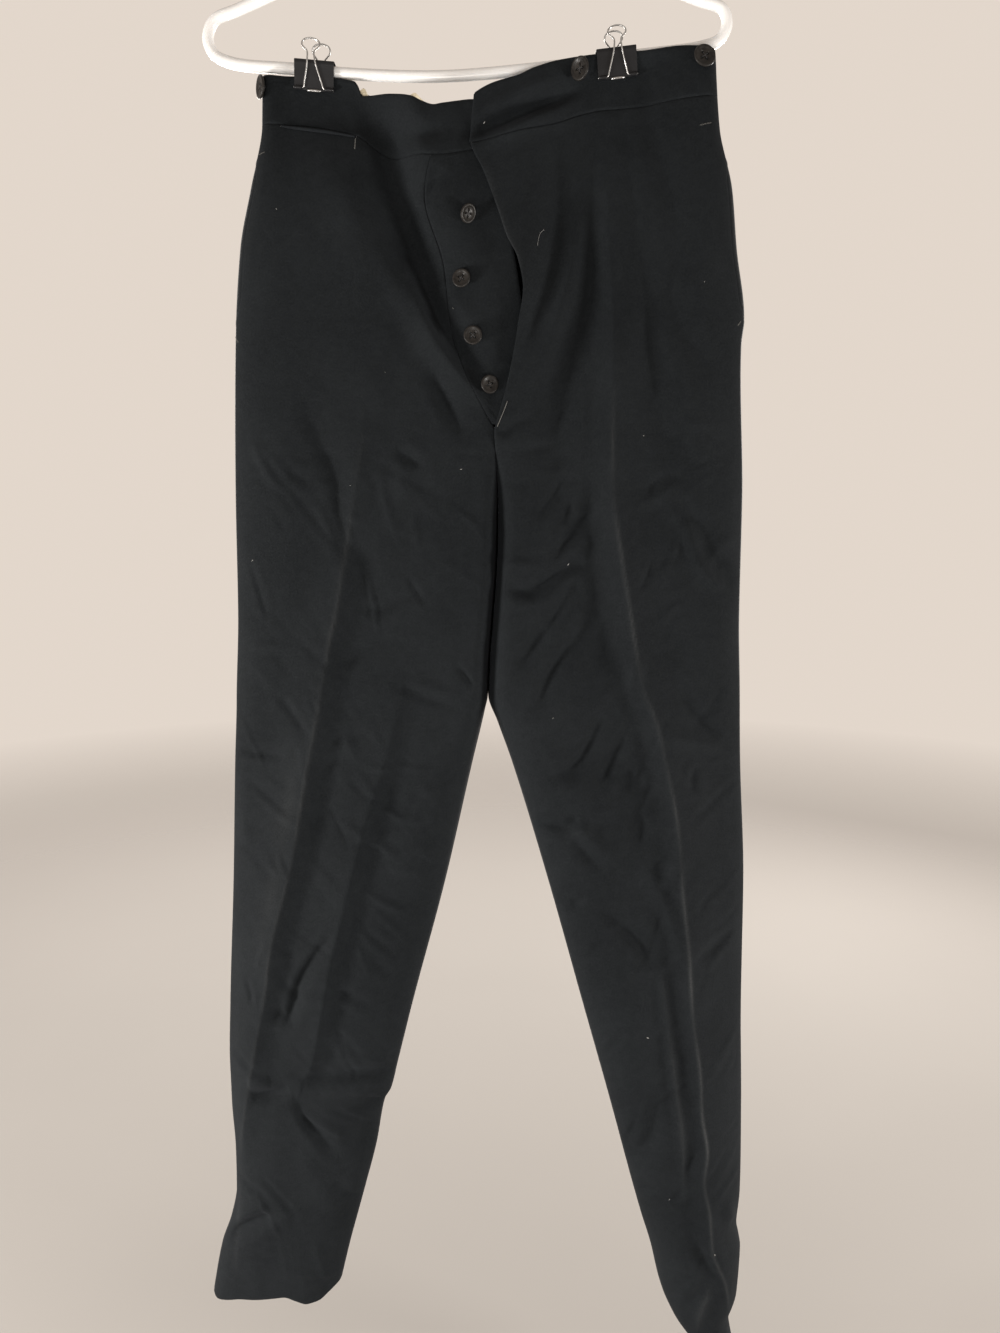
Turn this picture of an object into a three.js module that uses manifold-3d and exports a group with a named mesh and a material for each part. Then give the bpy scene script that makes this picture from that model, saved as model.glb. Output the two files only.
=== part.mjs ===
// Dress trousers hanging by their waistband from two spring clips on a tubular hanger.
// Millimetres, +Z up. The origin is the inside top of the hanger's hook, +X is to the right of
// someone who looks at the trousers' front, and the front faces -Y. "down" is a distance below
// the origin. Every cloth piece is a thin wall: an outer sheet and the same sheet moved inwards.
import * as THREE from 'three';
import { mergeVertices } from 'three/addons/utils/BufferGeometryUtils.js';
import Module from 'manifold-3d';

// Cloth, bands and clearances
const CLOTH = 1.6;
const BAND = 1.8;
const LINING = 1.0;
const HALF_GAP = 0.15;
const LAP = 2.8;

// Outline of each leg seen from the front: outer edge and inseam at a height.
const LEFT_LEG = [
  { down: 195, out: -154.5, inn: 22 },
  { down: 240, out: -156.7, inn: 22 },
  { down: 285, out: -167.5, inn: 22 },
  { down: 330, out: -178, inn: 22 },
  { down: 400, out: -185, inn: 22 },
  { down: 530, out: -191, inn: 22 },
  { down: 630, out: -193.5, inn: 22 },
  { down: 700, out: -198, inn: 22.3 },
  { down: 712, out: -198.6, inn: 20 },
  { down: 760, out: -202, inn: 8.7 },
  { down: 870, out: -208.5, inn: -17.5 },
  { down: 990, out: -217, inn: -49.5 },
  { down: 1050, out: -220, inn: -64.5 },
  { down: 1088, out: -220, inn: -74 },
  { down: 1133, out: -218.5, inn: -84 },
  { down: 1180, out: -219.5, inn: -96 },
  { down: 1210, out: -225.5, inn: -104 },
  { down: 1240, out: -236, inn: -112 },
  { down: 1308, out: -250, inn: -128 },
];
const RIGHT_LEG = [
  { down: 182, out: 202, inn: 22 },
  { down: 241, out: 208, inn: 22 },
  { down: 285, out: 219.5, inn: 22 },
  { down: 330, out: 225, inn: 22 },
  { down: 388, out: 233.5, inn: 22 },
  { down: 406, out: 232, inn: 22 },
  { down: 530, out: 238, inn: 22 },
  { down: 630, out: 239.5, inn: 22 },
  { down: 700, out: 243, inn: 22.3 },
  { down: 724, out: 244, inn: 30.5 },
  { down: 760, out: 245.6, inn: 43.5 },
  { down: 870, out: 252, inn: 76.5 },
  { down: 990, out: 254.6, inn: 110 },
  { down: 1088, out: 259.4, inn: 137 },
  { down: 1180, out: 262, inn: 162 },
  { down: 1212, out: 260, inn: 171 },
  { down: 1240, out: 264.6, inn: 178 },
  { down: 1285, out: 263, inn: 189 },
  { down: 1313, out: 256, inn: 201 },
  { down: 1345, out: 261, inn: 221 },
  { down: 1370, out: 264, inn: 226 },
];

// Half depths of the hanging cloth, and how far its outer edge takes to round over.
const LEFT_DEPTH = [
  { down: 180, front: 9, back: 12, round: 9, inner: 40 },
  { down: 240, front: 13, back: 14, round: 14, inner: 40 },
  { down: 330, front: 18, back: 16, round: 36, inner: 40 },
  { down: 470, front: 23, back: 20, round: 60, inner: 40 },
  { down: 580, front: 25, back: 22, round: 75, inner: 45 },
  { down: 760, front: 25, back: 22, round: 80, inner: 60 },
  { down: 990, front: 25, back: 21, round: 65, inner: 70 },
  { down: 1180, front: 23, back: 20, round: 45, inner: 65 },
  { down: 1310, front: 24, back: 20, round: 50, inner: 60 },
];
const RIGHT_DEPTH = [
  { down: 180, front: 9, back: 12, round: 9, inner: 40 },
  { down: 240, front: 13, back: 14, round: 14, inner: 40 },
  { down: 330, front: 18, back: 16, round: 36, inner: 40 },
  { down: 470, front: 23, back: 20, round: 60, inner: 40 },
  { down: 580, front: 25, back: 22, round: 75, inner: 45 },
  { down: 760, front: 26, back: 22, round: 80, inner: 65 },
  { down: 990, front: 29, back: 23, round: 55, inner: 70 },
  { down: 1180, front: 36, back: 26, round: 42, inner: 55 },
  { down: 1370, front: 38, back: 28, round: 22, inner: 22 },
];
const CROTCH = { start: 474, end: 565 };

// Centre seam of the fronts and backs, and where the legs part.
const CENTRE = [
  { down: 180, x: 23 },
  { down: 474, x: 28.5 },
  { down: 530, x: 31 },
  { down: 580, x: 30 },
  { down: 630, x: 26.5 },
  { down: 670, x: 23.5 },
  { down: 700, x: 22.3 },
];
const LEGS_PART = 700;

// The open fly: the seam of the button stand, its free edge, and the free edge of the right front.
const STAND_SEAM = [
  { down: 250, x: -16 },
  { down: 294, x: -27 },
  { down: 346, x: -12.5 },
  { down: 394, x: -7 },
  { down: 422, x: 1.2 },
  { down: 465, x: 22.8 },
  { down: 474, x: 28.5 },
];
const STAND_EDGE = [
  { down: 250, x: 23 },
  { down: 294, x: 33 },
  { down: 327, x: 41.5 },
  { down: 359, x: 47.2 },
  { down: 388, x: 50.6 },
  { down: 418, x: 46.4 },
  { down: 446, x: 39.4 },
  { down: 474, x: 31.5 },
];
const LAP_EDGE = [
  { down: 250, x: 7.5 },
  { down: 262, x: 12 },
  { down: 275, x: 19 },
  { down: 304, x: 30.4 },
  { down: 327, x: 38.5 },
  { down: 343, x: 46.6 },
  { down: 366, x: 51 },
  { down: 390, x: 47.6 },
  { down: 410, x: 44.4 },
  { down: 438, x: 38.6 },
  { down: 474, x: 28.5 },
];
const FLY_END = 474;
const GAPE = { down: 365, reach: 70, rise: 6, width: 30 };
const LAP_FADE = { startX: 48, endX: 80, aboveFlyEnd: 4, belowFlyEnd: 30 };

// Waistband edges: its top and the seam below it, front and back.
const TOP_LEFT = [
  { x: -160, down: 203.5 },
  { x: -125, down: 204 },
  { x: -94, down: 205.6 },
  { x: -81.5, down: 208 },
  { x: -76, down: 218 },
  { x: -47, down: 220.6 },
  { x: -37, down: 223 },
  { x: -20, down: 228.6 },
  { x: -1, down: 224.2 },
  { x: 40, down: 224 },
];
const TOP_RIGHT = [
  { x: 8, down: 224 },
  { x: 14, down: 218.5 },
  { x: 27, down: 212 },
  { x: 48, down: 206 },
  { x: 60, down: 200.5 },
  { x: 78, down: 194.5 },
  { x: 109, down: 189 },
  { x: 143, down: 186.5 },
  { x: 178, down: 183.5 },
  { x: 206, down: 184.5 },
];
const SEAM_LEFT = [
  { x: -160, down: 239 },
  { x: -140, down: 239.5 },
  { x: -110, down: 242 },
  { x: -81, down: 247.5 },
  { x: -67, down: 256.5 },
  { x: -51, down: 263.5 },
  { x: -23, down: 265.8 },
  { x: 5, down: 261 },
  { x: 40, down: 255 },
];
const SEAM_RIGHT = [
  { x: 8, down: 256 },
  { x: 33, down: 251 },
  { x: 50, down: 247 },
  { x: 76, down: 240 },
  { x: 99, down: 231 },
  { x: 112, down: 228 },
  { x: 141, down: 226 },
  { x: 191, down: 220 },
  { x: 210, down: 218.5 },
];
const TOP_BACK = [
  { x: -160, down: 203.5 },
  { x: -100, down: 207 },
  { x: -70, down: 214 },
  { x: -20, down: 224 },
  { x: 12, down: 220 },
  { x: 40, down: 210 },
  { x: 76, down: 198 },
  { x: 109, down: 190 },
  { x: 143, down: 187.5 },
  { x: 206, down: 185.5 },
];
const SEAM_BACK = [
  { x: -160, down: 239 },
  { x: -60, down: 249 },
  { x: 20, down: 254 },
  { x: 100, down: 234 },
  { x: 210, down: 218.5 },
];
const BAND_LAP_TOP_X = 13;
const BAND_HIDDEN_X = 33;
const BAND_END_X = 200;
const WAIST_DOWN = 250;
const BACK_TOP_DOWN = 210;

// Hems: "across" runs from the outer edge (0) to the inseam (1).
const HEM_LEFT = [
  { across: 0, down: 1291 },
  { across: 0.06, down: 1293 },
  { across: 0.25, down: 1286 },
  { across: 0.58, down: 1283 },
  { across: 0.78, down: 1292 },
  { across: 0.9, down: 1288 },
  { across: 1, down: 1279 },
];
const HEM_RIGHT = [
  { across: 0, down: 1366 },
  { across: 0.5, down: 1364 },
  { across: 1, down: 1352 },
];

// Pressed creases down the fronts, and the matching ones down the backs.
const CREASE_FRONT_LEFT = [
  { down: 480, x: -79 },
  { down: 544, x: -90 },
  { down: 624, x: -104 },
  { down: 700, x: -120 },
  { down: 790, x: -139 },
  { down: 844, x: -150 },
  { down: 919, x: -168 },
  { down: 975, x: -179 },
  { down: 1039, x: -193 },
  { down: 1105, x: -206 },
  { down: 1143, x: -211 },
];
const CREASE_FRONT_RIGHT = [
  { down: 315, x: 118 },
  { down: 436, x: 124 },
  { down: 512, x: 125 },
  { down: 584, x: 134 },
  { down: 684, x: 153 },
  { down: 722, x: 167 },
  { down: 800, x: 185 },
  { down: 874, x: 193 },
  { down: 987, x: 205 },
  { down: 1082, x: 216 },
  { down: 1150, x: 221 },
  { down: 1219, x: 230 },
  { down: 1260, x: 245 },
  { down: 1296, x: 251 },
];
const CREASE_BACK_LEFT = [
  { down: 520, x: -95 },
  { down: 700, x: -108 },
  { down: 900, x: -125 },
  { down: 1100, x: -150 },
  { down: 1295, x: -190 },
];
const CREASE_BACK_RIGHT = [
  { down: 500, x: 140 },
  { down: 700, x: 152 },
  { down: 900, x: 172 },
  { down: 1100, x: 200 },
  { down: 1350, x: 243 },
];

// Folds: a stretch of trough (rise below 0) or ridge from one end to the other. "bow" is how far
// its middle swings to the right of the way down, "width" is half the fold's breadth.
const FOLDS_FRONT = [
  { x0: -80, down0: 215, x1: -13, down1: 352, bow: -5, width: 10, rise: -7 },
  { x0: -48, down0: 335, x1: 20, down1: 456, bow: 3, width: 11, rise: 4 },
  { x0: -30, down0: 350, x1: 12, down1: 434, bow: 2, width: 7, rise: -4 },
  { x0: -123, down0: 460, x1: -77, down1: 606, bow: 6, width: 9, rise: -3 },
  { x0: -102, down0: 672, x1: -58, down1: 640, bow: 3, width: 8, rise: -3 },
  { x0: -52, down0: 699, x1: -145, down1: 1055, bow: 2, width: 14, rise: 5 },
  { x0: -118, down0: 912, x1: -162, down1: 1000, bow: 3, width: 12, rise: -5 },
  { x0: -146, down0: 1058, x1: -68, down1: 1052, bow: 3, width: 11, rise: -5 },
  { x0: -156, down0: 1078, x1: -122, down1: 1131, bow: 4, width: 9, rise: -5 },
  { x0: -228, down0: 1229, x1: -180, down1: 1193, bow: -4, width: 9, rise: -5 },
  { x0: 80, down0: 270, x1: 42, down1: 430, bow: -7, width: 9, rise: -5 },
  { x0: 98, down0: 302, x1: 58, down1: 448, bow: -5, width: 9, rise: 4 },
  { x0: 108, down0: 240, x1: 82, down1: 512, bow: -10, width: 9, rise: -5 },
  { x0: 134, down0: 276, x1: 181, down1: 500, bow: -4, width: 10, rise: -5 },
  { x0: 155, down0: 270, x1: 197, down1: 422, bow: -3, width: 9, rise: -4 },
  { x0: 40, down0: 604, x1: 104, down1: 583, bow: 8, width: 8, rise: -4 },
  { x0: 98, down0: 595, x1: 46, down1: 675, bow: 2, width: 9, rise: -4 },
  { x0: 112, down0: 628, x1: 64, down1: 708, bow: 4, width: 9, rise: -4 },
  { x0: 122, down0: 710, x1: 72, down1: 770, bow: 5, width: 9, rise: -4 },
  { x0: 64, down0: 809, x1: 101, down1: 802, bow: -6, width: 9, rise: -4 },
  { x0: 196, down0: 562, x1: 233, down1: 606, bow: 2, width: 9, rise: -4 },
  { x0: 184, down0: 693, x1: 222, down1: 739, bow: 2, width: 9, rise: -4 },
  { x0: 153, down0: 1137, x1: 176, down1: 1070, bow: 4, width: 9, rise: -5 },
];
const FOLDS_BACK = [
  { x0: -60, down0: 290, x1: -110, down1: 430, bow: 6, width: 16, rise: -4 },
  { x0: 105, down0: 280, x1: 150, down1: 425, bow: -6, width: 16, rise: -4 },
  { x0: -130, down0: 560, x1: -20, down1: 520, bow: 8, width: 14, rise: -4 },
  { x0: 170, down0: 565, x1: 70, down1: 525, bow: -8, width: 14, rise: -4 },
  { x0: -180, down0: 760, x1: -40, down1: 730, bow: 8, width: 13, rise: -4 },
  { x0: 210, down0: 770, x1: 80, down1: 735, bow: -8, width: 13, rise: -4 },
  { x0: -185, down0: 960, x1: -95, down1: 1010, bow: 5, width: 14, rise: -4 },
  { x0: 225, down0: 980, x1: 150, down1: 1030, bow: -5, width: 14, rise: -4 },
  { x0: -205, down0: 1130, x1: -125, down1: 1100, bow: 5, width: 12, rise: -4 },
];
const CREASE_RISE = 6;
const CREASE_WIDTH = 20;
const CREASE_FADE = { above: 30, into: 60, end: 20 };
const FOLD_END_STRENGTH = 0.35;
// Relief dies out towards a leg's outer edge and its inseam.
const EDGE_FADE = { outer: 22, inner: 16 };

// Hanger: a plain tube. The bar sags between its ends, and the arms rise to the neck.
const TUBE_RADIUS = 4.4;
const TUBE_SIDES = 8;
const HOOK_INNER_RADIUS = 22;
const NECK = { x: 4, down: 90 };
const NECK_RADIUS = 6;
const NECK_SPREAD = 0.4;
const SHOULDER_SAG = 3;
const HOOK_TURN = { start: 200, end: -40, step: 30 };
const HOOK_STEM = [{ x: 7, down: 54 }, { x: 4, down: 68 }];
const TUBE_STEPS = { loop: 74, stem: 26 };
const BAR = [
  { x: -178, down: 192.3 },
  { x: -129, down: 196.6 },
  { x: -78, down: 200.6 },
  { x: -15, down: 202 },
  { x: 54, down: 197 },
  { x: 143, down: 186.5 },
  { x: 190, down: 180.8 },
];
const LEFT_END = [
  { x: -192, down: 186 },
  { x: -196.5, down: 175 },
  { x: -191, down: 162 },
];
const RIGHT_END = [
  { x: 205, down: 175.5 },
  { x: 210.5, down: 165 },
  { x: 207, down: 154 },
];

// Spring clips: a folded steel body whose jaws close under the bar, and two wire handles.
const CLIP = {
  length: 31, rise: 21, jaw: 2.5, spine: 8.6, sheet: 0.8, jawBelowBar: 15.5,
  wire: 0.6, wireGap: 0.3, lean: 5, leanStarts: 2,
};
const HANDLE_TOP = 37.1;
// frontSways and backSways: how far the top of a handle leans to the right.
const CLIPS = [
  { name: 'left', x: -114, tilt: -4.7, frontSways: -4, backSways: 3 },
  { name: 'right', x: 125.7, tilt: 6.6, frontSways: 2, backSways: 0.6 },
];
// How a clip closes the cloth: beside its jaws, below them, and round the bar above them.
const PINCH = { margin: 2, beside: 22, below: 46, barClear: 4, barOpens: 0.4 };
// A handle seen from the front: across from its middle, and up from the jaws.
const HANDLE = [
  { across: 15, up: 1 },
  { across: 8.3, up: 1.1 },
  { across: 7, up: 4.5 },
  { across: 3, up: 19.6 },
  { across: 2.8, up: 25 },
  { across: 6.7, up: 31 },
  { across: 5, up: 35.8 },
  { across: 0, up: 37.1 },
];

// Buttons: a dished disc with a raised rim on a short thread shank.
const FLY_BUTTON = { radius: 7.4, thickness: 2.4, rim: 1.8, dish: 0.6, shank: 2, shankLength: 0.6 };
const BRACE_BUTTON = { radius: 8.7, thickness: 2.8, rim: 2.1, dish: 0.75, shank: 2.4, shankLength: 0.8 };
const FLY_BUTTONS = [
  { x: 6.2, down: 309.3 },
  { x: 2.6, down: 357.6 },
  { x: 11.4, down: 401.7 },
  { x: 23.7, down: 440 },
];
// The left brace button sits on the folded side of the band and faces outwards.
const BRACE_LEFT = { point: [-155.1, -2.6, -212], out: [-0.96, -0.28, 0], stand: 0.9 };
const BRACE_MID = { x: 94, down: 199.5 };
const BRACE_RIGHT = { x: 191, down: 192.5 };

// Side pocket mouths and the slit of the watch pocket.
const SIDE_POCKET = {
  top: 262, bottom: 392, inset: 4, fade: 22, least: 0.8, columns: 2, wall: 1.2, gap: 0.35,
};
const WATCH_POCKET = { x0: -140, x1: -82, belowSeam: 0.6, height: 3.4, wall: 0.9 };
const LINING_STRIP = {
  x0: -90, x1: -14, gap: 0.35, tucked: 1,
  peeks: [{ x: -74, width: 6, rise: 4.5 }, { x: -32, width: 8, rise: 3 }],
};

const COLOUR = {
  wool: 0x15161a, button: 0x2a2622, steel: 0x0c0c0e, wire: 0xb9bcc0, plastic: 0xf1eff0,
  lining: 0xd8cba8,
};

// Shared helpers

const clamp = (q, low, high) => Math.min(high, Math.max(low, q));
const mix = (a, b, t) => a + (b - a) * t;
const smooth = (low, high, q) => {
  const t = clamp((q - low) / (high - low), 0, 1);
  return t * t * (3 - 2 * t);
};

// A smooth curve through a table's rows that never overshoots them.
function curve(rows, key, value) {
  const at = rows.map((row) => row[key]);
  const level = rows.map((row) => row[value]);
  const last = rows.length - 1;
  const secant = (i) => (level[i + 1] - level[i]) / (at[i + 1] - at[i]);
  const slope = at.map((_, i) => {
    if (i === 0) return secant(0);
    if (i === last) return secant(last - 1);
    const before = secant(i - 1);
    const after = secant(i);
    return before * after <= 0 ? 0 : (2 * before * after) / (before + after);
  });
  return (q) => {
    if (q <= at[0]) return level[0];
    if (q >= at[last]) return level[last];
    const i = at.findIndex((edge) => edge > q) - 1;
    const step = at[i + 1] - at[i];
    const t = (q - at[i]) / step;
    const rise = t * t * (3 - 2 * t);
    const bend = slope[i] * t * (1 - t) * (1 - t) - slope[i + 1] * t * t * (1 - t);
    return mix(level[i], level[i + 1], rise) + bend * step;
  };
}

const SIDES = { left: -1, right: 1 };
const LEGS = { left: LEFT_LEG, right: RIGHT_LEG };
const DEPTHS = { left: LEFT_DEPTH, right: RIGHT_DEPTH };
const outline = {};
for (const side of Object.keys(SIDES)) {
  outline[side] = {
    out: curve(LEGS[side], 'down', 'out'),
    inn: curve(LEGS[side], 'down', 'inn'),
    front: curve(DEPTHS[side], 'down', 'front'),
    back: curve(DEPTHS[side], 'down', 'back'),
    round: curve(DEPTHS[side], 'down', 'round'),
    inner: curve(DEPTHS[side], 'down', 'inner'),
  };
}
const centreX = curve(CENTRE, 'down', 'x');
const standSeam = curve(STAND_SEAM, 'down', 'x');
const standEdge = curve(STAND_EDGE, 'down', 'x');
const lapEdge = curve(LAP_EDGE, 'down', 'x');
const barDown = curve(BAR, 'x', 'down');
const hem = {
  left: curve(HEM_LEFT, 'across', 'down'),
  right: curve(HEM_RIGHT, 'across', 'down'),
};
const bandTop = { left: curve(TOP_LEFT, 'x', 'down'), right: curve(TOP_RIGHT, 'x', 'down') };
const bandSeam = { left: curve(SEAM_LEFT, 'x', 'down'), right: curve(SEAM_RIGHT, 'x', 'down') };
const backTop = curve(TOP_BACK, 'x', 'down');
const backSeam = curve(SEAM_BACK, 'x', 'down');

// The inner edge of a leg: the centre line while the legs touch, then the inseam.
function innerX(side, down) {
  const line = down < LEGS_PART ? centreX(down) : outline[side].inn(down);
  return line + SIDES[side] * HALF_GAP;
}

// Folds and creases

const foldPaths = (folds) => folds.map((fold) => {
  const middleX = (fold.x0 + fold.x1) / 2 + fold.bow * 2;
  const middleDown = (fold.down0 + fold.down1) / 2;
  return { ...fold, middleX, middleDown };
});
const FOLD_SAMPLES = 7;

// How far a point is from a bowed fold, and how strong the fold is beside it.
function foldAt(fold, x, down) {
  let best = Infinity;
  let along = 0;
  for (let i = 0; i <= FOLD_SAMPLES; i++) {
    const t = i / FOLD_SAMPLES;
    const a = (1 - t) * (1 - t);
    const b = 2 * t * (1 - t);
    const foldX = a * fold.x0 + b * fold.middleX + t * t * fold.x1;
    const foldDown = a * fold.down0 + b * fold.middleDown + t * t * fold.down1;
    const gap = (x - foldX) ** 2 + (down - foldDown) ** 2;
    if (gap < best) {
      best = gap;
      along = t;
    }
  }
  const spread = (2 * Math.hypot(fold.x1 - fold.x0, fold.down1 - fold.down0)) / FOLD_SAMPLES;
  const near = Math.max(0, best - (spread * spread) / 16);
  const fade = FOLD_END_STRENGTH + (1 - FOLD_END_STRENGTH) * Math.sin(Math.PI * clamp(along, 0.05, 0.95));
  return fold.rise * fade * Math.exp(-near / (fold.width * fold.width));
}

function creaseAt(line, from, to, x, down) {
  const { above, into, end } = CREASE_FADE;
  const fade = smooth(from - above, from + into, down) * (1 - smooth(to - end, to + end, down));
  return CREASE_RISE * fade * Math.exp(-Math.abs(x - line(down)) / CREASE_WIDTH);
}

const first = (rows) => rows[0].down;
const final = (rows) => rows[rows.length - 1].down;
const creaseTables = {
  front: { left: CREASE_FRONT_LEFT, right: CREASE_FRONT_RIGHT },
  back: { left: CREASE_BACK_LEFT, right: CREASE_BACK_RIGHT },
};
const creases = {};
const folds = { front: foldPaths(FOLDS_FRONT), back: foldPaths(FOLDS_BACK) };
for (const face of Object.keys(creaseTables)) {
  creases[face] = {};
  for (const side of Object.keys(SIDES)) {
    const rows = creaseTables[face][side];
    const line = curve(rows, 'down', 'x');
    creases[face][side] = (x, down) => creaseAt(line, first(rows), final(rows), x, down);
  }
}

// The hanging surface

// A clip pinches the cloth to its jaws. Above them the cloth opens again round the bar.
function pinched(depth, x, down) {
  let held = depth;
  for (const clip of CLIPS) {
    const jaw = barDown(clip.x) + CLIP.jawBelowBar - Math.tan((clip.tilt * Math.PI) / 180) * (x - clip.x);
    const beside = Math.max(0, Math.abs(x - clip.x) - CLIP.length / 2 - PINCH.margin);
    const across = Math.exp(-((beside / PINCH.beside) ** 2));
    const below = down > jaw ? Math.exp(-(((down - jaw) / PINCH.below) ** 2)) : 1;
    const closed = BAND + HALF_GAP + Math.max(0, jaw - down - PINCH.barClear) * PINCH.barOpens;
    held = mix(held, Math.min(held, closed), across * below);
  }
  return held;
}

const rounded = (s, reach) => {
  const t = 1 - clamp(s / reach, 0, 1);
  return Math.sqrt(1 - t * t);
};

// Half depth of the front or back surface of one side, at a place on the garment.
function depthAt(face, side, x, down) {
  const own = outline[side];
  const left = x - outline.left.out(down);
  const right = outline.right.out(down) - x;
  const leg = smooth(CROTCH.start, CROTCH.end, down);
  const outer = side === 'left' ? left : right;
  const far = side === 'left' ? right : left;
  const inner = Math.max(0, SIDES[side] * (x - innerX(side, down)));
  const closing = 1 - leg * (1 - rounded(inner, own.inner(down)));
  const reach = own.round(down);
  let depth = own[face](down) * rounded(Math.max(0, outer), reach) * closing;
  if (leg < 1) depth *= rounded(Math.max(0, far), reach);
  const edge = smooth(0, EDGE_FADE.outer, outer) * mix(1, smooth(0, EDGE_FADE.inner, inner), leg);
  let relief = creases[face][side](x, down);
  for (const fold of folds[face]) relief += foldAt(fold, x, down);
  depth += relief * edge;
  return Math.max(HALF_GAP, pinched(depth, x, down));
}

// The right front laps over the left one, and its free edge gapes where the fly is open.
function lapAt(x, down) {
  const { startX, endX, aboveFlyEnd, belowFlyEnd } = LAP_FADE;
  const closeness = 1 - smooth(startX, endX, x);
  const end = 1 - smooth(FLY_END - aboveFlyEnd, FLY_END + belowFlyEnd, down);
  const open = Math.exp(-(((down - GAPE.down) / GAPE.reach) ** 2));
  const gape = GAPE.rise * open * Math.exp(-Math.max(0, x - lapEdge(down)) / GAPE.width);
  return (LAP * closeness + gape) * end;
}

const surface = {
  front: {
    left: (x, down) => -depthAt('front', 'left', x, down),
    right: (x, down) => -depthAt('front', 'right', x, down),
  },
  back: {
    left: (x, down) => depthAt('back', 'left', x, down),
    right: (x, down) => depthAt('back', 'right', x, down),
  },
};
const lappedFront = (x, down) => surface.front.right(x, down) - lapAt(x, down);

// Walls

// One closed wall from a grid of outer points. "facing" gives the direction out of the cloth at a
// seam's edge, so that the edge's cut face lies in the seam's plane.
const grids = {};
function wall(columns, rows, place, thickness, edges) {
  const outer = [];
  for (let j = 0; j <= rows; j++) {
    for (let i = 0; i <= columns; i++) outer.push(place(i / columns, j / rows));
  }
  const at = (i, j) => outer[j * (columns + 1) + i];
  const inner = outer.map((point, n) => {
    const i = n % (columns + 1);
    const j = Math.floor(n / (columns + 1));
    const before = at(Math.max(0, i - 1), j);
    const after = at(Math.min(columns, i + 1), j);
    let out = new THREE.Vector2(after.y - before.y, before.x - after.x);
    if (out.y * edges.face > 0) out.negate();
    out.normalize();
    if (i === 0 && edges.start) out = edges.start(point, out);
    if (i === columns && edges.end) out = edges.end(point, out);
    const x = point.x - out.x * thickness;
    const y = point.y - out.y * thickness;
    const kept = edges.face > 0 ? Math.min(y, -HALF_GAP) : Math.max(y, HALF_GAP);
    return new THREE.Vector3(x, kept, point.z);
  });
  if (edges.name) grids[edges.name] = { outer, inner, columns };
  return closedSheet(outer, inner, columns, rows);
}

function closedSheet(outer, inner, columns, rows) {
  const width = columns + 1;
  const base = outer.length;
  const index = [];
  const quad = (a, b, c, d) => index.push(a, b, c, a, c, d);
  for (let j = 0; j < rows; j++) {
    for (let i = 0; i < columns; i++) {
      const a = j * width + i;
      quad(a, a + 1, a + 1 + width, a + width);
      quad(base + a, base + a + width, base + a + 1 + width, base + a + 1);
    }
  }
  for (let i = 0; i < columns; i++) {
    const low = rows * width + i;
    quad(i + 1, i, base + i, base + i + 1);
    quad(low, low + 1, base + low + 1, base + low);
  }
  for (let j = 0; j < rows; j++) {
    const a = j * width;
    const b = a + columns;
    quad(a, a + width, base + a + width, base + a);
    quad(b + width, b, base + b, base + b + width);
  }
  const points = outer.concat(inner);
  let volume = 0;
  for (let n = 0; n < index.length; n += 3) {
    const [p, q, r] = [points[index[n]], points[index[n + 1]], points[index[n + 2]]];
    volume += p.dot(new THREE.Vector3().crossVectors(q, r));
  }
  if (volume < 0) {
    for (let n = 0; n < index.length; n += 3) {
      [index[n + 1], index[n + 2]] = [index[n + 2], index[n + 1]];
    }
  }
  const geometry = new THREE.BufferGeometry().setFromPoints(points);
  geometry.setIndex(index);
  geometry.computeVertexNormals();
  return geometry;
}

const finish = {
  wool: { color: COLOUR.wool, roughness: 0.9, metalness: 0 },
  lining: { color: COLOUR.lining, roughness: 0.7, metalness: 0 },
  button: { color: COLOUR.button, roughness: 0.35, metalness: 0 },
  steel: { color: COLOUR.steel, roughness: 0.3, metalness: 0.2 },
  wire: { color: COLOUR.wire, roughness: 0.25, metalness: 1 },
  plastic: { color: COLOUR.plastic, roughness: 0.3, metalness: 0 },
};
const garment = new THREE.Group();
function add(name, geometry, kind, parent = garment) {
  const mesh = new THREE.Mesh(geometry, new THREE.MeshStandardMaterial(finish[kind]));
  mesh.name = name;
  parent.add(mesh);
  return mesh;
}

// Cut faces: a side seam and an inseam lie in the plane y = 0, a centre seam or a free edge faces
// the viewer.
const sideways = (direction) => () => new THREE.Vector2(direction, 0);
const facing = (face) => () => new THREE.Vector2(0, face === 'front' ? -1 : 1);
const crotchEdge = (side, face) => (point) => {
  const leg = smooth(CROTCH.start, CROTCH.end, -point.z);
  const toward = face === 'front' ? -1 : 1;
  return new THREE.Vector2(-SIDES[side] * leg, toward * (1 - leg)).normalize();
};

const pocketInset = (down) => {
  const { top, bottom, inset, fade } = SIDE_POCKET;
  return inset * smooth(top, top + fade, down) * (1 - smooth(bottom - fade, bottom, down));
};

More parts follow.
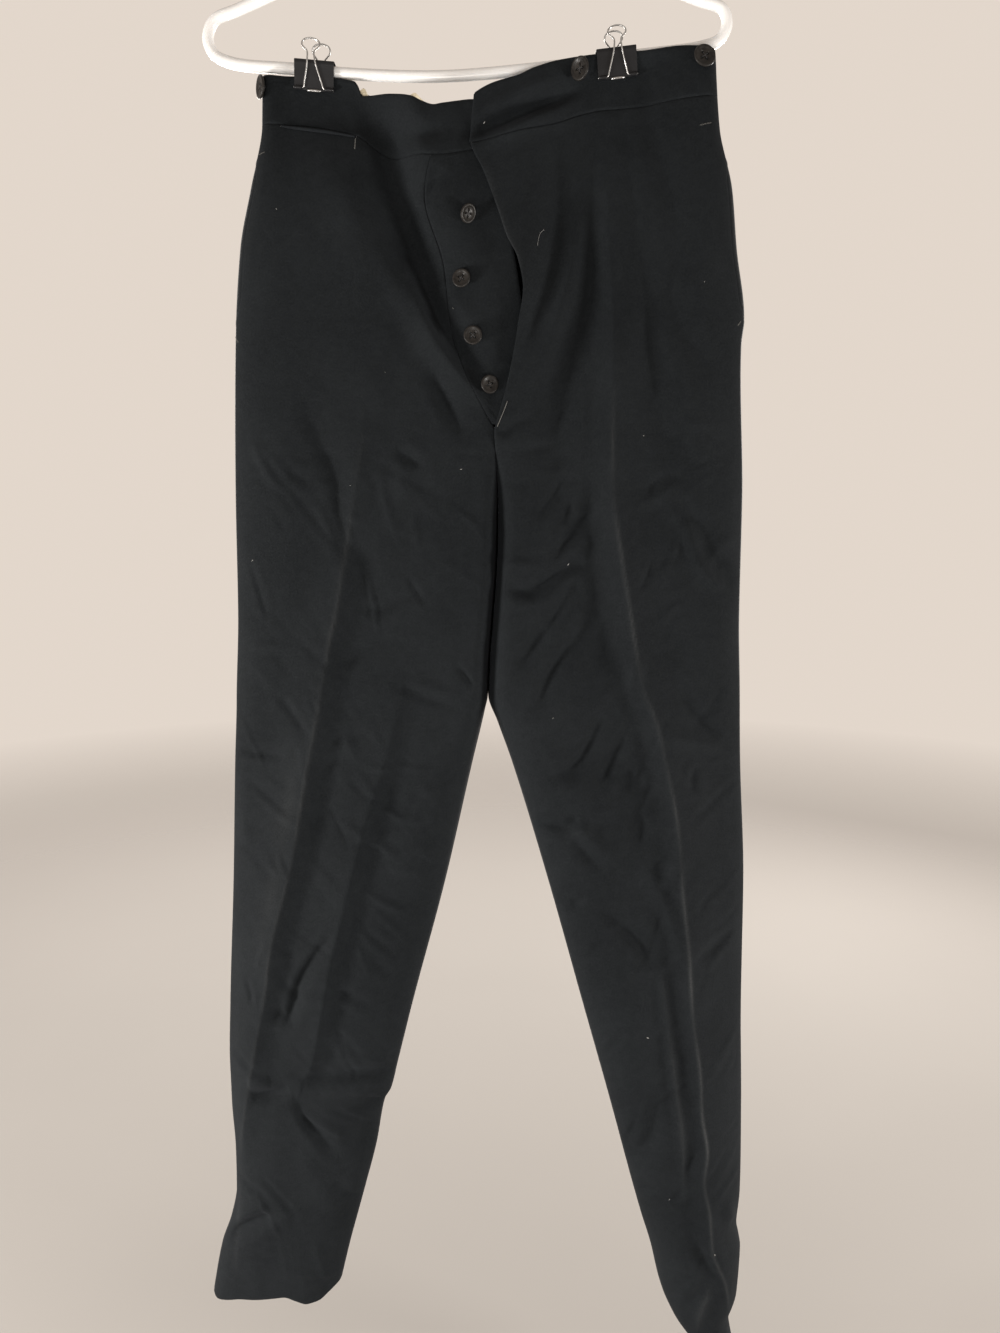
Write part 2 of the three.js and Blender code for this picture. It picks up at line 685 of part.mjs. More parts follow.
// Places along a waist seam that the band above it and the pieces below it share. Each guess at x
// gives a height, and the edges at that height give a better x.
const GUESSES = 5;
function stations(from, to, seam, columns) {
  return Array.from({ length: columns + 1 }, (_, i) => {
    let x = mix(from(WAIST_DOWN), to(WAIST_DOWN), i / columns);
    for (let n = 0; n < GUESSES; n++) x = mix(from(seam(x)), to(seam(x)), i / columns);
    return { x, down: seam(x) };
  });
}
const COLUMNS = { frontLeft: 14, frontRight: 16, back: 11, stand: 5, hidden: 2 };
const seamPlaces = {
  front: {
    left: stations(outline.left.out, standSeam, bandSeam.left, COLUMNS.frontLeft),
    right: stations(outline.right.out, lapEdge, bandSeam.right, COLUMNS.frontRight),
  },
  stand: stations(standSeam, standEdge, bandSeam.left, COLUMNS.stand),
  hidden: stations(standEdge, () => BAND_HIDDEN_X, bandSeam.left, COLUMNS.hidden),
  back: {
    left: stations(outline.left.out, centreX, backSeam, COLUMNS.back),
    right: stations(outline.right.out, centreX, backSeam, COLUMNS.back),
  },
};

// Rows crowd a little towards the waist, where the folds are closest.
const PANEL_SPREAD = 1.12;
const ROWS = { left: 40, right: 42, back: 30 };
const rowDown = (start, end, v) => mix(start, end, v ** PANEL_SPREAD);

function panel(face, side, rows) {
  const direction = SIDES[side];
  const places = seamPlaces[face][side];
  const columns = places.length - 1;
  const y = face === 'front' && side === 'right' ? lappedFront : surface[face][side];
  const outX = (down) => {
    const inset = face === 'front' ? pocketInset(down) : 0;
    return outline[side].out(down) - direction * inset;
  };
  const inX = (down) => {
    if (face === 'back' || down > FLY_END) return innerX(side, down);
    return (side === 'left' ? standSeam(down) : lapEdge(down)) + direction * HALF_GAP;
  };
  const place = (u, v) => {
    const start = places[Math.round(u * columns)].down + HALF_GAP;
    const down = rowDown(start, hem[side](u), v);
    const x = mix(outX(down), inX(down), u);
    return new THREE.Vector3(x, y(x, down), -down);
  };
  const outerEdge = (point, out) => {
    const inset = face === 'front' ? pocketInset(-point.z) / SIDE_POCKET.inset : 0;
    return new THREE.Vector2(mix(direction, out.x, inset), mix(0, out.y, inset)).normalize();
  };
  return wall(columns, rows, place, CLOTH, {
    face: face === 'front' ? 1 : -1,
    name: `${face}_${side}`,
    start: outerEdge,
    end: crotchEdge(side, face),
  });
}

add('front_left', panel('front', 'left', ROWS.left), 'wool');
add('front_right', panel('front', 'right', ROWS.right), 'wool');
add('back_left', panel('back', 'left', ROWS.back), 'wool');
add('back_right', panel('back', 'right', ROWS.back), 'wool');

// Waistbands

const BAND_ROWS = 5;
function band(face, side, places, endTop) {
  const direction = SIDES[side];
  const last = places.length - 1;
  const top = face === 'front' ? bandTop[side] : backTop;
  const outTop = outline[side].out(top(direction * BAND_END_X));
  const y = face === 'front' && side === 'right' ? lappedFront : surface[face][side];
  const place = (u, v) => {
    const { x: seamX, down: seamDown } = places[Math.round(u * last)];
    const across = (seamX - places[0].x) / (places[last].x - places[0].x);
    const topX = mix(outTop, endTop, across);
    const x = mix(topX, seamX, v);
    const down = mix(top(topX), seamDown - HALF_GAP, v);
    return new THREE.Vector3(x, y(x, down), -down);
  };
  return wall(last, BAND_ROWS, place, BAND, {
    name: face === 'front' ? `band_${side}` : null,
    face: face === 'front' ? 1 : -1,
    start: sideways(direction),
    end: facing(face),
  });
}

// The centre back seam: each band ends a hair short of the middle line.
const shortOf = (direction, places) => places.map((place, i) => (
  i === places.length - 1 ? { ...place, x: place.x + direction * HALF_GAP } : place));
const underLap = [...seamPlaces.front.left, ...seamPlaces.stand.slice(1), ...seamPlaces.hidden.slice(1)];
const backPlaces = {
  left: shortOf(-1, seamPlaces.back.left),
  right: shortOf(1, seamPlaces.back.right),
};
const backTopX = centreX(BACK_TOP_DOWN);
add('waistband_front_left', band('front', 'left', underLap, BAND_HIDDEN_X), 'wool');
add('waistband_front_right', band('front', 'right', seamPlaces.front.right, BAND_LAP_TOP_X), 'wool');
add('waistband_back_left', band('back', 'left', backPlaces.left, backTopX - HALF_GAP), 'wool');
add('waistband_back_right', band('back', 'right', backPlaces.right, backTopX + HALF_GAP), 'wool');

// Button stand, lining strip, pocket pieces

// The stand's rows follow the left front's, and the last one stops short of the fly's end.
const STAND_LAST_ROW = 12;
const STAND_CLEARANCE = 3;
const STAND_LEAST_WIDTH = 1.5;
function flyUnderlap() {
  const last = COLUMNS.stand;
  const places = seamPlaces.stand;
  const front = grids.front_left;
  const heights = front.outer
    .filter((_, n) => n % (front.columns + 1) === front.columns)
    .map((point) => -point.z)
    .filter((down) => down < FLY_END - STAND_LAST_ROW)
    .concat(FLY_END - STAND_CLEARANCE);
  const rows = heights.length - 1;
  const place = (u, v) => {
    const slant = places[Math.round(u * last)].down - places[0].down;
    const down = heights[Math.round(v * rows)] + slant * (1 - v);
    const from = standSeam(down) + HALF_GAP;
    const to = Math.max(from + STAND_LEAST_WIDTH, standEdge(down));
    const across = mix(from, to, u);
    return new THREE.Vector3(across, surface.front.left(across, down), -down);
  };
  return wall(last, rows, place, CLOTH, {
    name: 'stand', face: 1, start: facing('front'), end: facing('front'),
  });
}
add('fly_underlap', flyUnderlap(), 'wool');

// The lining lies behind the band's own wall, and peeks over its top edge in two places.
function liningStrip() {
  const { x0, x1, gap, tucked, peeks } = LINING_STRIP;
  const { outer, inner, columns } = grids.band_left;
  const picked = [];
  for (let i = 0; i <= columns; i++) {
    if (outer[i].x > x0 && outer[i].x < x1) picked.push(i);
  }
  const place = (u, v) => {
    const i = picked[Math.round(u * (picked.length - 1))] + (columns + 1) * Math.round(v);
    const under = inner[i].clone();
    const inwards = under.clone().sub(outer[i]).normalize();
    under.addScaledVector(inwards, gap);
    if (v < 0.5) {
      const lift = peeks.map(({ x, width, rise }) => rise * Math.exp(-(((under.x - x) / width) ** 2)));
      under.z += Math.max(...lift) - tucked;
    }
    return under;
  };
  return wall(picked.length - 1, 1, place, LINING, {
    face: 1, start: facing('front'), end: facing('front'),
  });
}
add('waistband_lining', liningStrip(), 'lining');

function watchPocketWelt() {
  const { x0, x1, belowSeam, height, wall: thickness } = WATCH_POCKET;
  const place = (u, v) => {
    const x = mix(x0, x1, u);
    const down = bandSeam.left(x) + belowSeam + height * v;
    return new THREE.Vector3(x, surface.front.left(x, down) - thickness - HALF_GAP * 2, -down);
  };
  return wall(10, 1, place, thickness, { face: 1, start: facing('front'), end: facing('front') });
}
add('watch_pocket_welt', watchPocketWelt(), 'wool');

// The facing lies behind the front's folded pocket edge and comes out to the side seam.
function sidePocketFacing(side) {
  const { outer, inner, columns } = grids[`front_${side}`];
  const rows = [];
  for (let start = 0; start < outer.length; start += columns + 1) {
    if (pocketInset(-outer[start].z) > SIDE_POCKET.least) rows.push(start);
  }
  const place = (u, v) => {
    const start = rows[Math.round(v * (rows.length - 1))];
    const column = Math.round(u * SIDE_POCKET.columns) - 1;
    const { z } = outer[start];
    if (column < 0) return new THREE.Vector3(outline[side].out(-z), -HALF_GAP, z);
    const under = inner[start + column].clone();
    const inwards = under.clone().sub(outer[start + column]).normalize();
    return under.addScaledVector(inwards, SIDE_POCKET.gap);
  };
  return wall(SIDE_POCKET.columns, rows.length - 1, place, SIDE_POCKET.wall, {
    face: 1, start: sideways(SIDES[side]),
  });
}
add('side_pocket_facing_left', sidePocketFacing('left'), 'wool');
add('side_pocket_facing_right', sidePocketFacing('right'), 'wool');

// Buttons

function button(size, shankLength) {
  const { radius, thickness, rim, dish, shank } = size;
  const profile = [
    [0, -shankLength],
    [shank, -shankLength],
    [shank, 0],
    [radius * 0.8, 0],
    [radius, thickness * 0.4],
    [radius - rim * 0.4, thickness],
    [radius - rim, thickness],
    [radius - rim * 1.5, thickness - dish],
    [0, thickness - dish],
  ];
  return new THREE.LatheGeometry(profile.map(([x, y]) => new THREE.Vector2(x, y)), 16);
}

// Where a wall's outer sheet lies, seen straight from the front: null beside the sheet.
function sheetDepth({ outer, columns }, x, z) {
  const width = columns + 1;
  for (let n = 0; n + width + 1 < outer.length; n++) {
    if (n % width === columns) continue;
    const corners = [outer[n], outer[n + 1], outer[n + width + 1], outer[n + width]];
    for (const [p, q, r] of [[corners[0], corners[1], corners[2]], [corners[0], corners[2], corners[3]]]) {
      const area = (q.x - p.x) * (r.z - p.z) - (r.x - p.x) * (q.z - p.z);
      const b = ((x - p.x) * (r.z - p.z) - (r.x - p.x) * (z - p.z)) / area;
      const c = ((q.x - p.x) * (z - p.z) - (x - p.x) * (q.z - p.z)) / area;
      if (b >= 0 && c >= 0 && b + c <= 1) return p.y + b * (q.y - p.y) + c * (r.y - p.y);
    }
  }
  return null;
}

function placeButton(name, size, point, out, seat, stand) {
  const mesh = add(name, button(size, stand - seat), 'button');
  mesh.quaternion.setFromUnitVectors(new THREE.Vector3(0, 1, 0), out);
  mesh.position.copy(point).addScaledVector(out, stand);
}

// Lay a button on a wall: the disc clears the highest cloth under it, and the shank ends just
// above the cloth at its middle.
function layButton(name, size, sheet, x, down) {
  const z = -down;
  const depth = (dx, dz) => sheetDepth(sheet, x + dx, z + dz);
  const middle = new THREE.Vector3(x, depth(0, 0), z);
  const reach = size.radius * 0.8;
  const slope = (near, far) => ((near ?? middle.y) - (far ?? middle.y)) / (2 * reach);
  const out = new THREE.Vector3(
    slope(depth(reach, 0), depth(-reach, 0)), -1, slope(depth(0, reach), depth(0, -reach))).normalize();
  const highest = (radius) => {
    let rise = 0;
    for (let turn = 0; turn < 24; turn++) {
      const angle = (turn * Math.PI) / 12;
      const [dx, dz] = [radius * Math.cos(angle), radius * Math.sin(angle)];
      const there = depth(dx, dz);
      if (there !== null) {
        rise = Math.max(rise, out.dot(new THREE.Vector3(dx, there - middle.y, dz)));
      }
    }
    return rise;
  };
  const seat = highest(size.shank * 1.1) + 2 * HALF_GAP;
  const stand = Math.max(seat + size.shankLength, highest(size.radius) + 2 * HALF_GAP);
  placeButton(name, size, middle, out, seat, stand);
}

FLY_BUTTONS.forEach(({ x, down }, n) => {
  layButton(`fly_button_${n + 1}`, FLY_BUTTON, grids.stand, x, down);
});
placeButton('brace_button_left', BRACE_BUTTON, new THREE.Vector3(...BRACE_LEFT.point),
  new THREE.Vector3(...BRACE_LEFT.out).normalize(), 2 * HALF_GAP, 2 * HALF_GAP + BRACE_LEFT.stand);
layButton('brace_button_mid', BRACE_BUTTON, grids.band_right, BRACE_MID.x, BRACE_MID.down);
layButton('brace_button_right', BRACE_BUTTON, grids.band_right, BRACE_RIGHT.x, BRACE_RIGHT.down);

// Hanger

const wasm = await Module();
wasm.setup();

function solid(geometry) {
  geometry.deleteAttribute('normal');
  geometry.deleteAttribute('uv');
  const merged = mergeVertices(geometry, 1e-4);
  return new wasm.Manifold(new wasm.Mesh({
    numProp: 3,
    vertProperties: new Float32Array(merged.attributes.position.array),
    triVerts: new Uint32Array(merged.index.array),
  }));
}

function meshGeometry(body) {
  const mesh = body.getMesh();
  const geometry = new THREE.BufferGeometry();
  geometry.setAttribute('position', new THREE.BufferAttribute(mesh.vertProperties, 3));
  geometry.setIndex(new THREE.BufferAttribute(mesh.triVerts, 1));
  return geometry;
}

const ring = (radius, sides) => {
  const shape = new THREE.Shape();
  for (let i = 0; i < sides; i++) {
    const angle = (2 * Math.PI * i) / sides;
    const corner = [radius * Math.cos(angle), radius * Math.sin(angle)];
    if (i === 0) shape.moveTo(...corner);
    else shape.lineTo(...corner);
  }
  return shape;
};

function tube(points, radius, sides, steps) {
  const path = new THREE.CatmullRomCurve3(points, false, 'centripetal');
  return new THREE.ExtrudeGeometry(ring(radius, sides), { steps, extrudePath: path });
}

const flat = ({ x, down }) => new THREE.Vector3(x, 0, -down);

function hangerGeometry() {
  const shoulder = (end, t) => ({
    x: mix(NECK.x, end.x, t),
    down: mix(NECK.down, end.down, t) - SHOULDER_SAG * Math.sin(Math.PI * t),
  });
  const leftTop = LEFT_END[LEFT_END.length - 1];
  const rightTop = RIGHT_END[RIGHT_END.length - 1];
  const route = [
    { x: NECK.x - NECK_SPREAD, down: NECK.down },
    shoulder(leftTop, 0.2), shoulder(leftTop, 0.5), shoulder(leftTop, 0.9),
    ...[...LEFT_END].reverse(),
    ...BAR,
    ...RIGHT_END,
    shoulder(rightTop, 0.9), shoulder(rightTop, 0.5), shoulder(rightTop, 0.2),
    { x: NECK.x + NECK_SPREAD, down: NECK.down },
  ];
  const loop = solid(tube(route.map(flat), TUBE_RADIUS, TUBE_SIDES, TUBE_STEPS.loop));
  const reach = HOOK_INNER_RADIUS + TUBE_RADIUS;
  const hook = [];
  for (let angle = HOOK_TURN.start; angle >= HOOK_TURN.end; angle -= HOOK_TURN.step) {
    const turn = (angle * Math.PI) / 180;
    hook.push({ x: reach * Math.cos(turn), down: HOOK_INNER_RADIUS - reach * Math.sin(turn) });
  }
  hook.push(...HOOK_STEM, NECK);
  const stem = solid(tube(hook.map(flat), TUBE_RADIUS, TUBE_SIDES, TUBE_STEPS.stem));
  const knob = new THREE.SphereGeometry(NECK_RADIUS, 12, 8).translate(NECK.x, 0, -NECK.down);
  return meshGeometry(loop.add(stem).add(solid(knob)));
}
add('hanger', hangerGeometry(), 'plastic');

// Spring clips

function clipBody() {
  const { length, rise, jaw, spine, sheet } = CLIP;
  const section = new THREE.Shape();
  section.moveTo(-jaw, 0);
  section.lineTo(-spine, rise);
  section.lineTo(spine, rise);
  section.lineTo(jaw, 0);
  section.lineTo(jaw + sheet, 0);
  section.lineTo(spine + sheet, rise + sheet);
  section.lineTo(-spine - sheet, rise + sheet);
  section.lineTo(-jaw - sheet, 0);
  section.closePath();
  const body = new THREE.ExtrudeGeometry(section, { depth: length, bevelEnabled: false });
  // The section's across is the clip's depth, its up stays up, and it is pushed along X.
  body.applyMatrix4(new THREE.Matrix4().makeBasis(
    new THREE.Vector3(0, 1, 0), new THREE.Vector3(0, 0, 1), new THREE.Vector3(1, 0, 0)));
  return body.translate(-length / 2, 0, 0);
}

function clipHandle(toward, sways) {
  const { rise, jaw, spine, sheet, wire, wireGap, lean } = CLIP;
  const clear = sheet + wireGap + wire + HALF_GAP;
  const depth = (up) => {
    const onWall = mix(jaw, spine, clamp(up / rise, 0, 1)) + clear;
    return onWall - lean * smooth(rise + CLIP.leanStarts, HANDLE_TOP, up);
  };
  const half = HANDLE.map(({ across, up }) => new THREE.Vector3(across, toward * depth(up), up));
  const other = [...half].reverse().slice(1).map((p) => new THREE.Vector3(-p.x, p.y, p.z));
  const route = [...half, ...other];
  route.forEach((p) => p.setX(p.x + (sways * p.z) / HANDLE_TOP));
  return tube(route, wire, 6, 38);
}

for (const { name, x, tilt, frontSways, backSways } of CLIPS) {
  const clip = new THREE.Group();
  clip.position.set(x, 0, -(barDown(x) + CLIP.jawBelowBar));
  clip.rotation.y = (-tilt * Math.PI) / 180;
  add(`clip_${name}_body`, clipBody(), 'steel', clip);
  add(`clip_${name}_handle_front`, clipHandle(-1, frontSways), 'wire', clip);
  add(`clip_${name}_handle_back`, clipHandle(1, backSways), 'wire', clip);
  garment.add(clip);
}

export default garment;
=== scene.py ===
# %% [markdown]
# # Dress trousers on a clip hanger
# Black wool trousers hang by the waistband from two spring clips on a white tubular hanger. The
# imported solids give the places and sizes, and this lesson dresses them: fine cloth with folds, horn
# buttons, sewn tacks, enamelled clips. The solids are loaded first, and nothing in them is moved.

# %% Load the solids
import math
from collections import namedtuple

import bmesh
import bpy
import numpy as np
from mathutils import Matrix, Vector


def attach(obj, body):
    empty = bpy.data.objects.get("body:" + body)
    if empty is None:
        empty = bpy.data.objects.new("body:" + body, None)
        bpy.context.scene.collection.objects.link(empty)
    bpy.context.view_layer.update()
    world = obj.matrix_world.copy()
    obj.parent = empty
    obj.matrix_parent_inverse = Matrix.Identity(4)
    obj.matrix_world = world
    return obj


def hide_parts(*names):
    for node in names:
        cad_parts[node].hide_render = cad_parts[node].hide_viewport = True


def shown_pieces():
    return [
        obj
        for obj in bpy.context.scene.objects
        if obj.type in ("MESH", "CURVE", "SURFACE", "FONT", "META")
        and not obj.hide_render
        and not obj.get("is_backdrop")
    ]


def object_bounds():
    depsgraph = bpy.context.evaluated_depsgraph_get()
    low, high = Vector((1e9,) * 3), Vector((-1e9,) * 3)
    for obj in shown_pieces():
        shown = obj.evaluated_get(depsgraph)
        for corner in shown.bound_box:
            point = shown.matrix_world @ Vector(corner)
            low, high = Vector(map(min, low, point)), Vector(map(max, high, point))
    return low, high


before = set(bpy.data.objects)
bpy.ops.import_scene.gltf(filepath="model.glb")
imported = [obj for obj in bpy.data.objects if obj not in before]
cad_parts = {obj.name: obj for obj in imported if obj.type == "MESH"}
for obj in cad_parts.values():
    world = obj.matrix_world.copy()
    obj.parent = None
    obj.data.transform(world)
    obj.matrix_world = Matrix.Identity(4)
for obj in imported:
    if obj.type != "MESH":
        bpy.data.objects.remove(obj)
cad_low, cad_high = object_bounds()
MM = 0.001
print("solids from", [round(v / MM) for v in cad_low], "to", [round(v / MM) for v in cad_high], "mm")

# %% [markdown]
# ## Camera
# The camera stands at chest height and looks down a little, so the hems are farther away than the
# waist and the legs narrow downwards. A long lens from far away would be simpler to place, but it
# would lose that taper. A wide lens, 0.86 m from the cloth and tipped 10 degrees, gives it.

# %% Camera
CAMERA_PLACE = (32.8, -859.5, -523.7)
CAMERA_TIP = 10
FOCAL_LENGTH, SENSOR_WIDTH = 27.03, 36
camera = bpy.data.objects.new("camera", bpy.data.cameras.new("camera"))
camera.location = Vector(CAMERA_PLACE) * MM
camera.rotation_euler = (math.radians(90 - CAMERA_TIP), 0, 0)
camera.data.lens = FOCAL_LENGTH
camera.data.sensor_width = SENSOR_WIDTH
bpy.context.scene.collection.objects.link(camera)
bpy.context.scene.camera = camera
print("camera at", CAMERA_PLACE, "mm, tipped", CAMERA_TIP, "degrees down")

# %% [markdown]
# ## Smooth curves from short tables
# A tailor draws a leg with a few measured points and a curved ruler. The same is done here: each
# outline is a short table, and a curve goes through its rows. A plain spline swings past its points,
# so this one limits its slopes, which keeps a straight seam straight.

# %% Curves
def curve(rows, column=1):
    """A smooth curve through a table: the first column to another one, without overshoot."""
    at = np.array([row[0] for row in rows], float)
    level = np.array([row[column] for row in rows], float)
    secant = np.diff(level) / np.diff(at)
    slope = np.concatenate([secant[:1], np.zeros(len(at) - 2), secant[-1:]])
    before, after = secant[:-1], secant[1:]
    agree = before * after > 0
    slope[1:-1] = np.where(agree, 2 * before * after / np.where(agree, before + after, 1), 0)

    def level_at(q):
        q = np.clip(np.asarray(q, float), at[0], at[-1])
        i = np.clip(np.searchsorted(at, q, side="right") - 1, 0, len(at) - 2)
        step = at[i + 1] - at[i]
        t = (q - at[i]) / step
        rise = t * t * (3 - 2 * t)
        bend = slope[i] * t * (1 - t) ** 2 - slope[i + 1] * t * t * (1 - t)
        return level[i] + (level[i + 1] - level[i]) * rise + bend * step

    return level_at


def mix(a, b, t):
    return a + (b - a) * t


def smooth(low, high, q):
    t = np.clip((q - low) / (high - low), 0, 1)
    return t * t * (3 - 2 * t)


print("a curve through 0, 1 and 4 is at", round(float(curve([(0, 0), (1, 1), (2, 4)])(1.5)), 2), "at 1.5")

# %% [markdown]
# ## Measurements
# All lengths are in millimetres, and "down" is the distance below the inside of the hanger's hook,
# which is the origin. Left and right are as seen from the front. The tables hold the outlines of the
# legs, how deep the hanging cloth is, the open fly, and the edges of the waistband.

# %% Outline of the legs: down, outer edge, inseam
LEG = {
    "left": [
        (195, -154.5, 22), (240, -156.7, 22), (285, -167.5, 22), (330, -178, 22), (400, -185, 22),
        (530, -191, 22), (630, -193.5, 22), (700, -198, 22.3), (712, -198.6, 20), (760, -202, 8.7),
        (870, -208.5, -16.3), (990, -217, -47.8), (1050, -220, -62.6), (1078, -220, -69.6),
        (1088, -220, -75.4), (1133, -218.5, -84), (1180, -219.5, -96), (1210, -225.5, -104),
        (1240, -236, -112), (1308, -250, -128),
    ],
    "right": [
        (182, 202, 22), (241, 208, 22), (285, 219.5, 22), (330, 225, 22), (388, 233.5, 22),
        (406, 232, 22), (530, 238, 22), (630, 239.5, 22), (700, 243, 22.3), (724, 244, 30.5),
        (760, 245.8, 43.2), (870, 253.2, 76), (990, 255.8, 109), (1088, 259.8, 136),
        (1180, 262, 160.4), (1212, 260, 169.4), (1240, 264.6, 178), (1285, 263, 189),
        (1313, 256, 201), (1345, 261, 221), (1370, 264, 226),
    ],
}
# Depth of the hanging cloth: down, front, back, how far the outer edge and the inseam round over
DEPTH = {
    "left": [
        (180, 9, 12, 9, 40), (240, 13, 14, 14, 40), (330, 18, 16, 36, 40), (470, 23, 20, 60, 17),
        (580, 25, 22, 75, 13), (690, 25, 22, 78, 15), (760, 25, 22, 80, 34), (990, 25, 21, 65, 62),
        (1180, 23, 20, 45, 65), (1310, 24, 20, 50, 60),
    ],
    "right": [
        (180, 9, 12, 9, 40), (240, 13, 14, 14, 40), (330, 18, 16, 36, 40), (470, 23, 20, 60, 22),
        (580, 25, 22, 75, 19), (690, 25.6, 22, 78, 22), (760, 26, 22, 80, 42), (990, 29, 23, 55, 62),
        (1180, 36, 26, 42, 55), (1370, 38, 28, 22, 22),
    ],
}
CENTRE = [(180, 23), (474, 28.5), (530, 31), (580, 30), (630, 26.5), (670, 23.5), (700, 22.3)]
CROTCH_START, CROTCH_END = 474, 565
LEGS_PART = 700
print("leg outlines:", {side: len(rows) for side, rows in LEG.items()}, "rows")

# %% The open fly, as down and x
STAND_SEAM = [
    (250, -16), (294, -27), (346, -12.5), (394, -7), (422, 1.2), (465, 22.8), (474, 28.5),
]
STAND_EDGE = [
    (250, 23), (294, 33), (327, 41.5), (359, 47.2), (388, 50.6), (418, 46.4), (446, 39.4),
    (474, 31.5),
]
LAP_EDGE = [
    (250, 7.5), (262, 12), (275, 19), (304, 30.4), (327, 38.5), (343, 46.6), (366, 51), (390, 47.6),
    (410, 44.4), (438, 38.6), (474, 28.5),
]
FLY_END = 474
print("the fly opens down to", FLY_END, "mm")

# %% The waistband, as x and down, and the hems, as share of the width and down
BAND_TOP = {
    "left": [
        (-160, 203.5), (-125, 204), (-94, 205.6), (-81.5, 208), (-78.5, 211.5), (-76, 218),
        (-58, 219), (-47, 220.6), (-37, 223), (-28, 226.8), (-20, 228.6), (-12, 226.4), (-1, 224.2),
        (10, 223), (40, 224),
    ],
    "right": [
        (8, 224), (14, 218.5), (27, 212), (48, 206), (60, 200.5), (78, 194.5), (109, 189), (143, 186.5),
        (178, 183.5), (206, 184.5),
    ],
    "back": [
        (-160, 203.5), (-100, 207), (-70, 214), (-20, 224), (12, 220), (40, 210), (76, 198),
        (109, 190), (143, 187.5), (206, 185.5),
    ],
}
WAIST_SEAM = {
    "left": [
        (-160, 239), (-140, 239.5), (-110, 242), (-81, 247.5), (-67, 256.5), (-51, 263.5),
        (-23, 265.8), (5, 261), (40, 255),
    ],
    "right": [
        (8, 256), (33, 251), (50, 247), (76, 240), (99, 231), (112, 228), (141, 226),
        (191, 220), (210, 218.5),
    ],
    "back": [(-160, 239), (-60, 249), (20, 254), (100, 234), (210, 218.5)],
}
BAND_LAP_TOP_X = 13
BAND_HIDDEN_X = 33
HEM = {
    "left": [
        (0, 1291), (0.05, 1293.5), (0.12, 1291), (0.25, 1286), (0.45, 1284), (0.58, 1282.5),
        (0.68, 1287.5), (0.78, 1292.5), (0.86, 1291.5), (0.93, 1285), (1, 1279),
    ],
    "right": [(0, 1366), (0.5, 1364), (1, 1352)],
}
# Thickness of each cloth, half the gap at a seam, and how far the legs press into each other
CLOTH, BAND, LINING, WELT = 1.6, 1.8, 1.0, 0.9
HALF_GAP = 0.15
PRESSED = 0.3
print("the cloth is", CLOTH, "mm thick, and", 2 * HALF_GAP, "mm stay open at a seam")

# %% [markdown]
# ## Folds
# Hanging wool shows three kinds of relief: pressed creases down the middle of each leg, soft pulls
# that run from the clips and the fly, and small breaks at the knees and ankles. A cloth simulation
# makes folds, but not these ones, so each is listed one by one. A fold is a path, how wide it is on either
# side, its rise (below 0 for a trough), and its sharpness, from 1 for a pressed edge to 2 for a roll.

# %% Folds of the left front
Fold = namedtuple("Fold", "path left right rise sharp", defaults=(1.5,))
LEFT_CREASE = [
    (-79, 480), (-86, 520), (-90, 544), (-95, 574), (-104, 624), (-110, 648), (-120, 700),
    (-133, 760), (-139, 790), (-149, 844), (-170, 919), (-179, 975), (-193, 1039), (-206, 1105),
    (-211, 1143),
]
FOLDS_LEFT = [
    Fold([(-90, 208), (-74, 231), (-57, 250), (-54.5, 270), (-49.5, 292), (-41, 315), (-28, 340),
          (-12, 364)], 19, 15, -8.4, 1.9),
    Fold([(-34, 212), (-33, 232), (-30, 252), (-24, 285)], 14, 18, 3.4, 1.8),
    Fold([(-44, 246), (-28, 249), (-12, 244)], 7, 6, -2.4),
    Fold([(-44, 300), (-40, 335), (-22, 378), (6, 420)], 9, 9, -3.6),
    Fold([(-48, 338), (-31, 377), (-16, 406), (-2, 428), (21, 456)], 10, 7, 3.6),
    Fold([(-31, 353), (-12, 400), (13, 432)], 5, 5, -2.6),
    Fold([(-22, 428), (2, 478)], 6, 6, -2),
    Fold([(-15, 273), (-26, 301)], 7, 9, -2.6),
    Fold([(-123, 463), (-103, 512), (-99, 544), (-89, 581), (-77, 605)], 6, 10, -1.9),
    Fold([(-80, 622), (-67, 621), (-31, 605)], 5, 6, -1.3),
    Fold([(-101, 670), (-76, 655), (-60, 641)], 6, 6, -1.5),
    Fold([(-52, 491), (-32, 505)], 5, 5, -1.6),
    Fold(LEFT_CREASE, 16, 9, 3.6, 1.1),
    Fold([(-52, 699), (-68, 758), (-83, 803), (-101, 871), (-119, 943), (-136, 1027), (-145, 1053)],
         17, 7.5, 3.4, 1.4),
    Fold([(-119, 914), (-145, 955), (-156, 989), (-161, 998)], 3.4, 6, -2.2),
    Fold([(-175, 994), (-161, 987)], 6, 6, -2),
    Fold([(-196, 748), (-156, 749)], 3, 4, -1.6),
    Fold([(-114, 739), (-83, 726)], 5, 5, -1.1),
    Fold([(-120, 762), (-104, 752)], 4, 4, -0.7),
    Fold([(-145, 1056), (-100, 1052), (-68, 1053)], 6, 8, -3.6),
    Fold([(-196, 1073), (-177, 1071), (-161, 1063)], 6, 6, -2.8),
    Fold([(-198, 1058), (-178, 1055)], 8, 6, 2.2),
    Fold([(-155, 1077), (-144, 1101), (-123, 1130)], 4, 8, -2.3),
    Fold([(-226, 1226), (-205, 1210), (-182, 1195)], 6, 9, -3.6),
    Fold([(-222, 1210), (-205, 1196), (-185, 1183)], 7, 7, 2.2),
    Fold([(-124, 1166), (-110, 1180)], 7, 7, -1.2),
    Fold([(-76, 1084), (-94, 1079)], 5, 6, -2.2),
]
print(len(FOLDS_LEFT), "folds on the left front")

